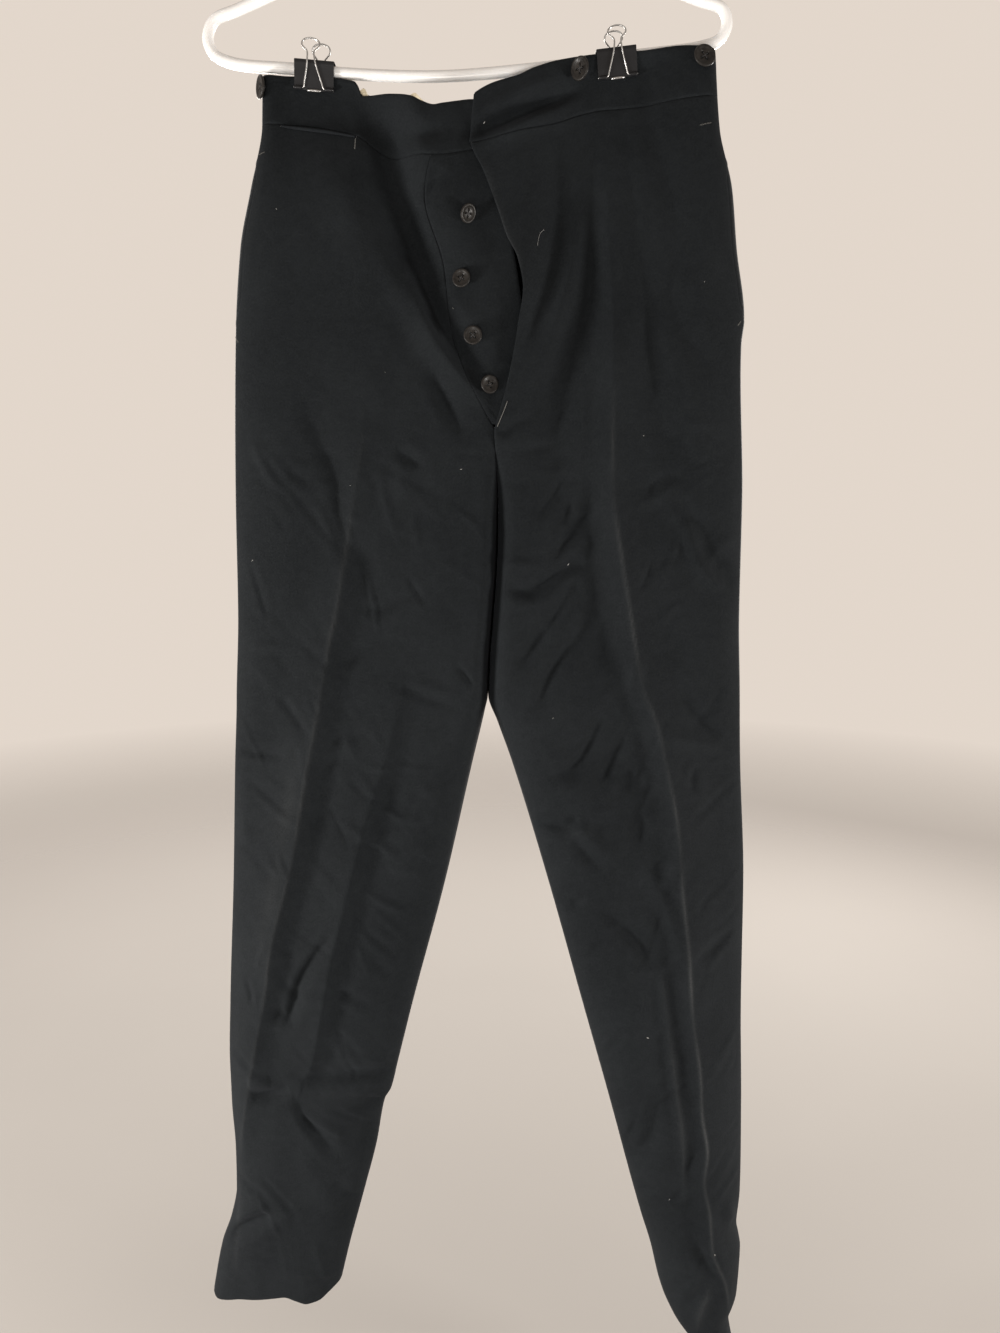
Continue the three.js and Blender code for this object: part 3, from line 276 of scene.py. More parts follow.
# %% Folds of the right front
RIGHT_CREASE = [
    (118, 315), (123, 377), (124, 440), (125, 512), (129, 552), (140, 616), (153, 684),
    (167, 722), (180, 777), (188, 821), (193, 874), (200, 929), (205, 987), (213, 1040),
    (216, 1082), (222, 1118), (220, 1150), (226, 1180), (230, 1219), (237, 1239), (245, 1260),
    (251, 1296),
]
FOLDS_RIGHT = [
    Fold([(14, 248), (50, 232), (75, 221), (98, 211)], 4.5, 6, -6),
    Fold([(112, 212), (120, 221), (133, 214)], 6, 7, -4),
    Fold([(30, 252), (58, 240), (84, 230)], 6, 5, 1.6),
    Fold([(78, 238), (79, 273), (77, 319), (72, 358), (58, 397), (43, 428)], 16, 13, -3.8),
    Fold([(98, 304), (88, 358), (72, 408), (58, 448)], 7, 7, 2.6),
    Fold([(112, 216), (108, 240), (107, 281), (106, 338), (103, 387), (93, 426), (81, 468),
          (82, 512)], 20, 16, -5.2),
    Fold([(128, 214), (131, 240), (142, 318), (150, 377), (151, 408), (162, 456), (180, 497)],
         11, 12, -2.6),
    Fold([(146, 226), (158, 262), (170, 300), (173, 338), (170, 367), (179, 392), (196, 420)],
         10, 9, -1.9),
    Fold([(30, 477), (39, 476), (53, 465)], 4, 4, -1.6),
    Fold(RIGHT_CREASE, 8, 16, 3.8, 1.1),
    Fold([(106, 520), (112, 600), (128, 690)], 20, 12, -2.8),
    Fold([(108, 544), (91, 562), (76, 582)], 6, 6, -2.8),
    Fold([(92, 532), (84, 553)], 5, 5, -2),
    Fold([(40, 604), (61, 607), (88, 588), (104, 584)], 5, 6, -3),
    Fold([(98, 597), (72, 641), (48, 673)], 6, 7, -2.6),
    Fold([(112, 629), (81, 670), (65, 706)], 6, 7, -2.6),
    Fold([(122, 712), (100, 758), (73, 769)], 6, 7, -2.8),
    Fold([(141, 732), (123, 769)], 6, 6, -2.2),
    Fold([(148, 758), (145, 782)], 6, 6, -2),
    Fold([(157, 800), (156, 827)], 7, 7, -2.2),
    Fold([(65, 811), (91, 813), (100, 803)], 5, 6, -2.8),
    Fold([(69, 820), (100, 814), (123, 837)], 6, 6, 1.6),
    Fold([(97, 826), (121, 851)], 6, 6, -2),
    Fold([(97, 882), (103, 892)], 8, 8, -2),
    Fold([(122, 887), (155, 919), (164, 937)], 5, 9, -2.4),
    Fold([(164, 856), (182, 893), (192, 929)], 6, 6, 1.8),
    Fold([(177, 950), (181, 975), (191, 1046), (199, 1101), (203, 1168)], 4, 7, 1.8, 1.3),
    Fold([(150, 1138), (170, 1118), (180, 1066)], 12, 12, -3.2),
    Fold([(178, 1158), (163, 1172)], 5, 5, -0.9),
    Fold([(216, 1213), (238, 1260)], 10, 6, -2.4),
    Fold([(229, 1262), (221, 1288), (219, 1309)], 5, 6, 2.2),
    Fold([(168, 474), (174, 520)], 6, 6, -0.8),
    Fold([(178, 474), (189, 505)], 6, 6, -0.8),
    Fold([(178, 529), (204, 565)], 6, 6, -1.3),
    Fold([(197, 566), (232, 605)], 6, 7, -1.7),
    Fold([(186, 547), (200, 585), (221, 605)], 6, 6, 1.6),
    Fold([(172, 543), (192, 586)], 6, 6, -0.8),
    Fold([(185, 695), (200, 717), (221, 738)], 5, 7, -1.5),
    Fold([(179, 731), (221, 743)], 6, 6, 1.5),
    Fold([(187, 754), (195, 772)], 5, 5, -0.8),
    Fold([(207, 935), (222, 925), (239, 914)], 5, 5, -1.8),
    Fold([(242, 1177), (255, 1197)], 6, 7, 2.6),
]
print(len(FOLDS_RIGHT), "folds on the right front")

# %% Small creases that lie across the pulls
rng = np.random.default_rng(11)
# Which leg, how many, highest and lowest
WRINKLES = [(-1, 190, 480, 1285), (1, 190, 450, 1340)]
MIDDLE_X, SPREAD_FROM, SPREAD_RATE = 24, 620, 0.16


def wrinkles(side, count, start, end):
    """Short shallow creases, steeper near the middle, which fan out from the crotch."""
    made = []
    for _ in range(count):
        down = rng.uniform(start, end)
        spread = SPREAD_RATE * max(0, down - SPREAD_FROM)
        x = MIDDLE_X + side * (spread + rng.uniform(8, 195 - 0.45 * spread))
        fan = rng.normal(0.75, 0.4) * side
        length, bow = rng.uniform(9, 30), rng.normal(0, 4)
        step = np.array([-math.cos(fan) * side, abs(math.sin(fan))]) * length
        middle = (x + bow * 0.4, down + bow * 0.4)
        path = [(x - step[0], down - step[1]), middle, (x + step[0], down + step[1])]
        width = rng.uniform(1.9, 4.2)
        made.append(Fold(path, width, width * rng.uniform(0.8, 1.6), rng.normal(0, 0.46), 1.6))
    return made


FOLDS_FINE = [fold for row in WRINKLES for fold in wrinkles(*row)]
print(len(FOLDS_FINE), "small creases")

# %% Folds of the two backs
FOLDS_BACK = [
    Fold([(-60, 262), (-84, 350), (-110, 430)], 13, 11, -4.4),
    Fold([(-100, 255), (-126, 330), (-140, 400)], 9, 9, -2.6),
    Fold([(105, 246), (126, 340), (150, 425)], 13, 11, -4.4),
    Fold([(150, 240), (168, 310), (188, 400)], 9, 9, -3),
    Fold([(60, 262), (66, 330), (58, 410)], 10, 9, -2.6),
    Fold([(-130, 560), (-80, 532), (-20, 520)], 8, 11, -3.6),
    Fold([(-110, 600), (-50, 580), (0, 560)], 7, 9, -2.4),
    Fold([(170, 565), (122, 536), (70, 525)], 8, 11, -3.6),
    Fold([(150, 610), (100, 582), (56, 566)], 7, 9, -2.4),
    Fold([(-180, 760), (-100, 738), (-40, 730)], 8, 9, -3.4),
    Fold([(-150, 790), (-90, 772)], 7, 7, -2),
    Fold([(210, 770), (150, 744), (80, 735)], 8, 9, -3.4),
    Fold([(190, 800), (130, 778)], 7, 7, -2),
    Fold([(-185, 960), (-140, 990), (-95, 1010)], 8, 9, -3.6),
    Fold([(225, 980), (190, 1010), (150, 1030)], 8, 9, -3.6),
    Fold([(-205, 1130), (-165, 1108), (-125, 1100)], 7, 8, -3),
    Fold([(240, 1180), (215, 1160), (190, 1150)], 7, 8, -3),
    Fold([(-225, 1235), (-190, 1215), (-150, 1210)], 7, 8, -2.8),
    Fold([(-95, 520), (-108, 700), (-125, 900), (-150, 1100), (-190, 1295)], 12, 12, 4, 1.1),
    Fold([(140, 500), (152, 700), (172, 900), (200, 1100), (243, 1350)], 12, 12, 4, 1.1),
]
print(len(FOLDS_BACK), "folds on the backs")

# %% [markdown]
# ## The shape of the cloth
# Seen from the front, a point of the trousers is named by x and down, and one function gives how deep
# the cloth is there: a flattened tube for each leg, closed at its side seams, pinched where the clips
# hold it, with the relief of all the folds on top. Working with whole grids of points at once keeps
# this quick, even with every fold measured at tens of thousands of points.

# %% Relief of one fold
def smooth_path(points, per_span=10):
    """A rounded path through a fold's few points."""
    p = np.array(points, float)
    p = np.vstack([2 * p[0] - p[1], p, 2 * p[-1] - p[-2]])
    t = np.linspace(0, 1, per_span, endpoint=False)[:, None]
    spans = [
        0.5 * (2 * b + (c - a) * t + (2 * a - 5 * b + 4 * c - d) * t**2
               + (3 * b - a - 3 * c + d) * t**3)
        for a, b, c, d in zip(p[:-3], p[1:-2], p[2:-1], p[3:])
    ]
    return np.vstack([*spans, p[-2:-1]])


print("the left crease is a path of", len(smooth_path(LEFT_CREASE)), "points")


# %% Where a point is beside a path
def beside(path, x, down):
    """Distance of points from a path, which side they are on, and how far along it they are."""
    start, step = path[:-1], np.diff(path, axis=0)
    size = np.maximum((step**2).sum(1), 1e-9)
    rx, rd = x[:, None] - start[:, 0], down[:, None] - start[:, 1]
    t = np.clip((rx * step[:, 0] + rd * step[:, 1]) / size, 0, 1)
    gap = np.hypot(rx - t * step[:, 0], rd - t * step[:, 1])
    nearest = gap.argmin(1)
    rows = np.arange(len(x))
    side = step[nearest, 1] * rx[rows, nearest] - step[nearest, 0] * rd[rows, nearest]
    return gap[rows, nearest], side, (nearest + t[rows, nearest]) / len(step)


# How many widths a fold is felt, the swell beside it and where it is, its tapering ends
REACH, FLANK, FLANK_AT, TAPER = 3.5, 0.2, 2.1, 0.4
STRENGTH = 1.9


def fold_relief(fold, x, down):
    """Height that one fold adds at each point, with a low swell along both flanks."""
    path = smooth_path(fold.path)
    reach = REACH * max(fold.left, fold.right)
    near = (x > path[:, 0].min() - reach) & (x < path[:, 0].max() + reach)
    near &= (down > path[:, 1].min() - reach) & (down < path[:, 1].max() + reach)
    relief = np.zeros_like(x)
    if not near.any():
        return relief
    gap, side, along = beside(path, x[near], down[near])
    width = np.where(side > 0, fold.right, fold.left)
    body = np.exp(-((gap / width) ** fold.sharp))
    flank = FLANK * np.exp(-(((gap - FLANK_AT * width) / width) ** 2))
    taper = np.sin(math.pi * np.clip(along, 0.01, 0.99)) ** TAPER
    relief[near] = STRENGTH * fold.rise * (body - flank) * taper
    return relief


trial = beside(np.array([(0.0, 0.0), (0.0, 100.0)]), np.array([3.0]), np.array([50.0]))
print("a point beside a straight path is", float(trial[0][0]), "mm away from it")

# %% Unevenness of hanging cloth
# Soft swellings: how many, smallest and largest, and their height
SWELLS = [(130, 14, 38, 1.1), (560, 5, 13, 0.5)]
BLOBS = {
    face: np.vstack([
        np.column_stack([
            rng.uniform(-250, 265, count), rng.uniform(250, 1370, count),
            rng.uniform(small, large, count), rng.normal(0, rise, count),
        ])
        for count, small, large, rise in SWELLS
    ])
    for face in ("front", "back")
}


def unevenness(face, x, down):
    """Broad soft swellings and hollows, a millimetre or so high, that no table lists."""
    total = np.zeros_like(x)
    for bx, bd, size, rise in BLOBS[face]:
        near = (abs(x - bx) < 3 * size) & (abs(down - bd) < 4.5 * size)
        square = ((x[near] - bx) / size) ** 2 + ((down[near] - bd) / (1.5 * size)) ** 2
        total[near] += rise * np.exp(-square)
    return total


print(sum(len(rows) for rows in BLOBS.values()), "soft swellings and hollows")

# %% Hanger bar and clips, which pinch the cloth
BAR = [(-178, 192.3), (-129, 196.6), (-78, 200.6), (-15, 202), (54, 197), (143, 186.5), (190, 180.8)]
bar_down = curve(BAR)
Clip = namedtuple("Clip", "name x tilt lean_front lean_back")
CLIPS = [Clip("left", -114, -4.7, -4, 3), Clip("right", 125.7, 6.6, 2, 0.6)]
CLIP_LENGTH, CLIP_RISE, JAW, SPINE, SHEET_STEEL = 31, 20.2, 2.5, 8.4, 0.5
JAW_BELOW_BAR = 15.5
# How far the pinch is felt below and beside a jaw, and how fast the bands open above it
PINCH_BELOW, PINCH_BESIDE, OPENS = 46, 22, 0.4


def pinched(depth, x, down):
    """The clips hold the bands together, and the cloth opens again above and beside them."""
    held = depth
    for clip in CLIPS:
        jaw = bar_down(clip.x) + JAW_BELOW_BAR - math.tan(math.radians(clip.tilt)) * (x - clip.x)
        beside_jaw = np.maximum(0, abs(x - clip.x) - CLIP_LENGTH / 2 - 2)
        below = np.where(down > jaw, np.exp(-(((down - jaw) / PINCH_BELOW) ** 2)), 1)
        closed = BAND + HALF_GAP + np.maximum(0, jaw - down - 4) * OPENS
        near = np.exp(-((beside_jaw / PINCH_BESIDE) ** 2))
        held = mix(held, np.minimum(held, closed), near * below)
    return held


print("the bar is", [round(float(bar_down(clip.x)), 1) for clip in CLIPS], "mm down at the clips")

# %% A curve for every table
SIGN = {"left": -1, "right": 1}
out_x = {side: curve(rows, 1) for side, rows in LEG.items()}
inn_x = {side: curve(rows, 2) for side, rows in LEG.items()}
depth_of = {
    side: {name: curve(rows, n) for n, name in enumerate(("front", "back", "round", "inner"), 1)}
    for side, rows in DEPTH.items()
}
centre_x = curve(CENTRE)
stand_seam, stand_edge, lap_edge = curve(STAND_SEAM), curve(STAND_EDGE), curve(LAP_EDGE)
band_top = {name: curve(rows) for name, rows in BAND_TOP.items()}
waist_seam = {name: curve(rows) for name, rows in WAIST_SEAM.items()}
hem = {side: curve(rows) for side, rows in HEM.items()}
FOLDS = {"front": FOLDS_LEFT + FOLDS_RIGHT + FOLDS_FINE, "back": FOLDS_BACK + FOLDS_FINE[::2]}
print({face: len(rows) for face, rows in FOLDS.items()}, "folds in all")

# %% Depth of the cloth at any place
# A trough that comes near the middle plane levels out over this many millimetres
SOFT_STOP = 3
# How far from a side seam and from an inseam the folds fade out
FADE_OUTER, FADE_INNER = 14, 10


def inner_x(side, down):
    """The centre line while the legs press together, then the inseam."""
    line = np.where(down < LEGS_PART, centre_x(down), inn_x[side](down))
    apart = mix(-PRESSED, HALF_GAP, smooth(LEGS_PART - 12, LEGS_PART + 3, down))
    return line + SIGN[side] * apart


def rounded(s, reach):
    t = 1 - np.clip(s / reach, 0, 1)
    return np.sqrt(1 - t * t)


def depth_at(face, side, x, down):
    """Half depth of the front or the back of one side, for arrays of places."""
    shape = x.shape
    x, down = x.ravel(), down.ravel()
    own = depth_of[side]
    leg = smooth(CROTCH_START, CROTCH_END, down)
    left, right = x - out_x["left"](down), out_x["right"](down) - x
    outer, far = (left, right) if side == "left" else (right, left)
    inner = np.maximum(0, SIGN[side] * (x - inner_x(side, down)))
    closing = 1 - leg * (1 - rounded(inner, own["inner"](down)))
    reach = own["round"](down)
    depth = own[face](down) * rounded(np.maximum(0, outer), reach) * closing
    depth *= np.where(leg < 1, rounded(np.maximum(0, far), reach), 1)
    edge = smooth(0, FADE_OUTER, outer) * mix(1, smooth(0, FADE_INNER, inner), leg)
    relief = unevenness(face, x, down) * smooth(230, 300, down)
    for fold in FOLDS[face]:
        relief += fold_relief(fold, x, down)
    sunk = depth + relief * edge
    sunk = (sunk + np.sqrt(sunk * sunk + (SOFT_STOP * edge) ** 2)) / 2
    return np.maximum(HALF_GAP, pinched(sunk, x, down)).reshape(shape)


print("at 900 mm down the left inseam is at x =", round(float(inner_x("left", np.array([900.0]))[0]), 1))

# %% Overlap and gape of the fly
LAP, LAP_FULL_TO, LAP_GONE_AT = 2.8, 48, 80
GAPE_DOWN, GAPE_REACH, GAPE_RISE, GAPE_WIDTH = 365, 70, 6, 30


def lap_at(x, down):
    """How far the right front stands before the left one, with the gape of the open fly."""
    closeness = 1 - smooth(LAP_FULL_TO, LAP_GONE_AT, x)
    end = 1 - smooth(FLY_END - 4, FLY_END + 30, down)
    gape = GAPE_RISE * np.exp(-(((down - GAPE_DOWN) / GAPE_REACH) ** 2))
    gape = gape * np.exp(-np.maximum(0, x - lap_edge(down)) / GAPE_WIDTH)
    return (LAP * closeness + gape) * end


def cloth_y(face, side, x, down):
    """Where the outer sheet of the cloth lies, along y."""
    if face == "back":
        return depth_at(face, side, x, down)
    lap = lap_at(x, down) if side == "right" else 0
    return -depth_at(face, side, x, down) - lap


thigh = cloth_y("front", "left", np.array([-100.0]), np.array([800.0]))
print("the left thigh stands", round(-float(thigh[0]), 1), "mm before the middle plane")

# %% [markdown]
# ## Cloth as a thin wall
# Wool suiting is a millimetre or two thick, and its cut edges show at the fly, the waist and the
# hems. A Solidify modifier would do that, but at a side seam it pushes the front's inside through the
# back's. Here the inner sheet is placed point by point and stops short of the middle plane, and each
# free edge gets one more row that bulges, as folded cloth does.

# %% Mesh objects
def mesh_object(name, points, faces, smooth_faces=True):
    """A mesh object from points in millimetres."""
    mesh = bpy.data.meshes.new(name)
    mesh.from_pydata((np.asarray(points, float) * MM).tolist(), [], faces)
    mesh.validate()
    if smooth_faces:
        mesh.shade_smooth()
    obj = bpy.data.objects.new(name, mesh)
    bpy.context.scene.collection.objects.link(obj)
    return obj


# %% Wall builder
def wall(name, outer, thickness, face, start=None, end=None, bulge=(0, 0, 0, 0)):
    """A closed thin wall from a grid of outer points, rows from top to bottom. start and end are
    the directions out of the cloth at the first and last column, where a seam fixes them. bulge is
    how far the middle of each cut edge stands out: top, bottom, first column, last column."""
    rows, columns = outer.shape[:2]
    across = np.gradient(outer, axis=1)
    out = np.stack([across[..., 1], -across[..., 0]], -1)
    wrong = out[..., 1] * (1 if face == "front" else -1) > 0
    out = np.where(wrong[..., None], -out, out)
    out /= np.maximum(np.linalg.norm(out, axis=-1, keepdims=True), 1e-9)
    if start is not None:
        out[:, 0] = start
    if end is not None:
        out[:, -1] = end
    inner = outer.copy()
    inner[..., :2] -= out * thickness
    if face == "front":
        inner[..., 1] = np.minimum(inner[..., 1], -HALF_GAP)
    else:
        inner[..., 1] = np.maximum(inner[..., 1], HALF_GAP)
    index = np.arange(rows * columns).reshape(rows, columns)
    base = rows * columns
    quads = np.stack([index[:-1, :-1], index[:-1, 1:], index[1:, 1:], index[1:, :-1]], -1)
    quads = quads.reshape(-1, 4)
    faces = quads.tolist() + (quads[:, ::-1] + base).tolist()
    points = [outer.reshape(-1, 3), inner.reshape(-1, 3)]
    loops = [
        (index[0, :], outer[1, :]), (index[-1, :], outer[-2, :]),
        (index[:, 0], outer[:, 1]), (index[:, -1], outer[:, -2]),
    ]
    count = 2 * base
    for (edge, next_in), reach, turned in zip(loops, bulge, (True, False, False, True)):
        if reach:
            middle = (outer.reshape(-1, 3)[edge] + inner.reshape(-1, 3)[edge]) / 2
            away = outer.reshape(-1, 3)[edge] - next_in
            away /= np.maximum(np.linalg.norm(away, axis=1, keepdims=True), 1e-9)
            points.append(middle + away * reach)
            ridge = count + np.arange(len(edge))
            count += len(edge)
            strips = [(edge, ridge), (ridge, edge + base)]
        else:
            strips = [(edge, edge + base)]
        for near, far in strips:
            strip = np.stack([near[:-1], near[1:], far[1:], far[:-1]], -1)
            faces += (strip[:, ::-1] if turned else strip).tolist()
    obj = mesh_object(name, np.vstack(points), faces)
    flat_uv(obj, outer, base)
    work = bmesh.new()
    work.from_mesh(obj.data)
    bmesh.ops.recalc_face_normals(work, faces=work.faces)
    work.to_mesh(obj.data)
    work.free()
    return obj, {"outer": outer, "inner": inner, "out": out}


# %% The cloth laid flat
def flat_uv(obj, outer, base):
    """Lays the cloth flat in metres, so that the weave runs along the piece."""
    run = np.linalg.norm(np.diff(outer, axis=1), axis=2).cumsum(1)
    run = np.pad(run, ((0, 0), (1, 0)))
    fall = np.linalg.norm(np.diff(outer, axis=0), axis=2).cumsum(0)
    fall = np.pad(fall, ((1, 0), (0, 0)))
    flat = np.stack([run, fall], -1).reshape(-1, 2) * MM
    layer = obj.data.uv_layers.new(name="cloth")
    corner = np.zeros(len(obj.data.loops), int)
    obj.data.loops.foreach_get("vertex_index", corner)
    known = np.where(corner < 2 * base, corner % base, 0)
    layer.data.foreach_set("uv", flat[known].astype(np.float32).ravel())


def cut_of(outer):
    """Widest row, longest column and area of a piece, in metres: the cut of what shows."""
    run = np.linalg.norm(np.diff(outer, axis=1), axis=2).sum(1).max() * MM
    fall = np.linalg.norm(np.diff(outer, axis=0), axis=2).sum(0).max() * MM
    p = outer * MM
    one = np.cross(p[1:, 1:] - p[:-1, :-1], p[1:, :-1] - p[:-1, 1:])
    return run, fall, float(np.linalg.norm(one, axis=2).sum() / 2)


wide, tall = np.meshgrid([0.0, 1000.0], [0.0, 1000.0])
print("a flat square metre measures", cut_of(np.stack([wide, 0 * wide, tall], -1)))

# %% [markdown]
# ## Fronts and backs
# Each panel runs from the waist seam to the hem, with fine rows so that the folds are real shape and
# not a trick of the shader. The side seams and inseams meet their neighbours a third of a millimetre
# apart. Beside the waist seam the cloth turns in a little, which is what makes a seam show as a line.

# %% Pocket mouths, seams and directions
POCKET_TOP, POCKET_BOTTOM, POCKET_INSET, POCKET_ENDS = 262, 392, 6, 22
SEAM_DIP, SEAM_REACH, SEAM_CLOSED = 0.22, 1.8, 0.17


def pocket_inset(down):
    rise = smooth(POCKET_TOP, POCKET_TOP + POCKET_ENDS, down)
    return POCKET_INSET * rise * (1 - smooth(POCKET_BOTTOM - POCKET_ENDS, POCKET_BOTTOM, down))


def stations(start_edge, end_edge, seam, share):
    """Places along a waist seam that the band above and the panel below share."""
    x = mix(start_edge(250), end_edge(250), share)
    for _ in range(6):
        x = mix(start_edge(seam(x)), end_edge(seam(x)), share)
    return x, seam(x)


def side_dir(side):
    return np.array([SIGN[side], 0.0])


def view_dir(face):
    return np.array([0.0, -1.0 if face == "front" else 1.0])


def unit(v):
    return v / np.linalg.norm(v, axis=-1, keepdims=True)


print("a pocket mouth is", POCKET_BOTTOM - POCKET_TOP, "mm long and set in by", POCKET_INSET, "mm")

# %% Panels
# Rows lie closer together at the top, and a seam's dip ends where the legs part
PANEL_SPREAD, NO_SEAM = 1.12, 400


def panel(face, side, columns, rows):
    """One front or back, from its outer edge (first column) to the middle."""
    u = np.linspace(0, 1, columns)[None, :]
    v = np.linspace(0, 1, rows)[:, None] ** PANEL_SPREAD
    seam = waist_seam[side if face == "front" else "back"]
    end_edge = centre_x
    if face == "front":
        end_edge = stand_seam if side == "left" else lap_edge
    _, start = stations(out_x[side], end_edge, seam, u)
    down = mix(start + HALF_GAP, hem[side](u), v)
    sign = SIGN[side]
    outer_edge = out_x[side](down) - sign * (pocket_inset(down) if face == "front" else 0)
    open_edge = (stand_seam if side == "left" else lap_edge)(down) + sign * HALF_GAP
    middle = inner_x(side, down)
    if face == "front":
        middle = np.where(down > FLY_END, middle, open_edge)
    x = mix(outer_edge, middle, u)
    y = cloth_y(face, side, x, down)
    toward = -1 if face == "front" else 1
    y = y - toward * SEAM_DIP * np.exp(-(((down - start) / SEAM_REACH) ** 2))
    sewn = 1 if face == "back" else smooth(FLY_END - 4, FLY_END + 6, down)
    from_middle = abs(x - middle) + NO_SEAM * (down > LEGS_PART)
    y = y - toward * SEAM_DIP * sewn * np.exp(-((from_middle / SEAM_REACH) ** 2))
    outer = np.stack([x, y, -down], -1)
    inset = (pocket_inset(down[:, 0]) / POCKET_INSET if face == "front" else 0 * down[:, 0])[:, None]
    start_dir = unit(mix(side_dir(side), view_dir(face), inset))
    leg = smooth(CROTCH_START, CROTCH_END, down[:, -1])[:, None]
    end_dir = unit(-side_dir(side) * leg + view_dir(face) * (1 - leg))
    obj, sheets = wall(f"{face}_{side}_cloth", outer, CLOTH, face, start_dir, end_dir,
                       (SEAM_CLOSED, CLOTH / 2, SEAM_CLOSED, SEAM_CLOSED))
    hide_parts(f"{face}_{side}")
    return obj, sheets


FRONT_GRID = ((118, 404))
BACK_GRID = ((64, 290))
pieces, grids = {}, {}
for face, grid in (("front", FRONT_GRID), ("back", BACK_GRID)):
    for side in SIGN:
        name = f"{face}_{side}"
        pieces[name], grids[name] = panel(face, side, *grid)
        print(name, "cut (m, m, m2):", [round(v, 3) for v in cut_of(grids[name]["outer"])])

# %% [markdown]
# ## Waistband
# The band is a separate folded strip, sewn above the panels. Its top edge is a fold, so it is round,
# and the clips press it flat. It follows the same depth as the panels, so the pulls of the cloth run
# on into it, as they do on the real one.

# %% Bands
BAND_ROWS = 16


def band(face, side, end_edge, end_top, columns):
    u = np.linspace(0, 1, columns)[None, :]
    v = np.linspace(0, 1, BAND_ROWS)[:, None]
    place = side if face == "front" else "back"
    seam_x, seam_down = stations(out_x[side], end_edge, waist_seam[place], u)
    share = (seam_x - seam_x[:, :1]) / (seam_x[:, -1:] - seam_x[:, :1])
    out_top = out_x[side](band_top[place](SIGN[side] * 200))
    top_x = mix(out_top, end_top, share)
    x = mix(top_x, seam_x, v)
    down = mix(band_top[place](top_x), seam_down - HALF_GAP, v)
    y = cloth_y(face, side, x, down)
    toward = -1 if face == "front" else 1
    y = y - toward * SEAM_DIP * np.exp(-(((seam_down - down) / SEAM_REACH) ** 2))
    outer = np.stack([x, y, -down], -1)
    end_bulge = BAND / 2 if face == "front" else SEAM_CLOSED
    obj, sheets = wall(f"waistband_{face}_{side}_cloth", outer, BAND, face, side_dir(side),
                       view_dir(face), (BAND / 2, SEAM_CLOSED, SEAM_CLOSED, end_bulge))
    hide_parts(f"waistband_{face}_{side}")
    return obj, sheets


BAND_ENDS = {
    ("front", "left"): (lambda down: np.full_like(np.asarray(down, float), BAND_HIDDEN_X),
                        BAND_HIDDEN_X, 130),
    ("front", "right"): (lap_edge, BAND_LAP_TOP_X, 120),
    ("back", "left"): (lambda down: centre_x(down) - HALF_GAP, centre_x(210) - HALF_GAP, 90),
    ("back", "right"): (lambda down: centre_x(down) + HALF_GAP, centre_x(210) + HALF_GAP, 90),
}
for (face, side), (end_edge, end_top, columns) in BAND_ENDS.items():
    name = f"waistband_{face}_{side}"
    pieces[name], grids[name] = band(face, side, end_edge, end_top, columns)
    print(name, "cut (m, m, m2):", [round(v, 3) for v in cut_of(grids[name]["outer"])])

# %% [markdown]
# ## Button stand, pocket pieces and lining
# Behind the open fly lies the button stand, a strip sewn to the left front. The side pockets show a
# narrow facing behind their mouths, the watch pocket a folded lip in the waist seam, and a cream
# lining peeks over the dipping band. All are thin walls too, laid against the cloth that carries them.

# %% Button stand
def button_stand():
    u = np.linspace(0, 1, 28)[None, :]
    v = np.linspace(0, 1, 90)[:, None]
    _, start = stations(stand_seam, stand_edge, waist_seam["left"], u)
    down = mix(start + HALF_GAP, FLY_END - 3, v)
    near = stand_seam(down) + HALF_GAP
    x = mix(near, np.maximum(near + 1.5, stand_edge(down)), u)
    y = cloth_y("front", "left", x, down)
    outer = np.stack([x, y, -down], -1)
    obj, sheets = wall("fly_underlap_cloth", outer, CLOTH, "front", view_dir("front"),
                       view_dir("front"), (SEAM_CLOSED, 0, SEAM_CLOSED, CLOTH / 2))
    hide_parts("fly_underlap")
    return obj, sheets


pieces["fly_underlap"], grids["fly_underlap"] = button_stand()
print("button stand cut:", [round(v, 3) for v in cut_of(grids["fly_underlap"]["outer"])])

# %% Pocket facings
FACING, FACING_GAP, FACING_IN = 1.2, 0.35, 9


def pocket_facing(side):
    """Cloth behind a side pocket's mouth, out to the side seam."""
    sheets = grids[f"front_{side}"]
    inner, out = sheets["inner"], sheets["out"]
    heights = -inner[:, 0, 2]
    rows = np.flatnonzero(pocket_inset(heights) > 0.8)
    under = inner[rows].copy()
    under[..., :2] -= out[rows] * FACING_GAP
    reach = int(np.searchsorted(abs(inner[rows[0], :, 0] - inner[rows[0], 0, 0]), FACING_IN)) + 1
    under = under[:, :reach]
    edge_x = out_x[side](heights[rows])
    edge = np.stack([edge_x, np.full_like(edge_x, -HALF_GAP), -heights[rows]], -1)
    steps = np.linspace(0, 1, 5)[:-1, None, None]
    fan = mix(edge[None], under[None, :, 0], steps)
    fan[..., 1] = mix(edge[:, 1], under[:, 0, 1], np.sin(steps[..., 0] * math.pi / 2))
    outer = np.concatenate([fan.transpose(1, 0, 2), under], axis=1)
    obj, sheets = wall(f"side_pocket_facing_{side}_cloth", outer, FACING, "front", side_dir(side))
    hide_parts(f"side_pocket_facing_{side}")
    return obj, sheets


for side in SIGN:
    name = f"side_pocket_facing_{side}"
    pieces[name], grids[name] = pocket_facing(side)
print("facings are", FACING, "mm thick and reach", FACING_IN, "mm behind the mouth")

# %% Watch pocket lip
LIP_FROM, LIP_TO = -140, -82


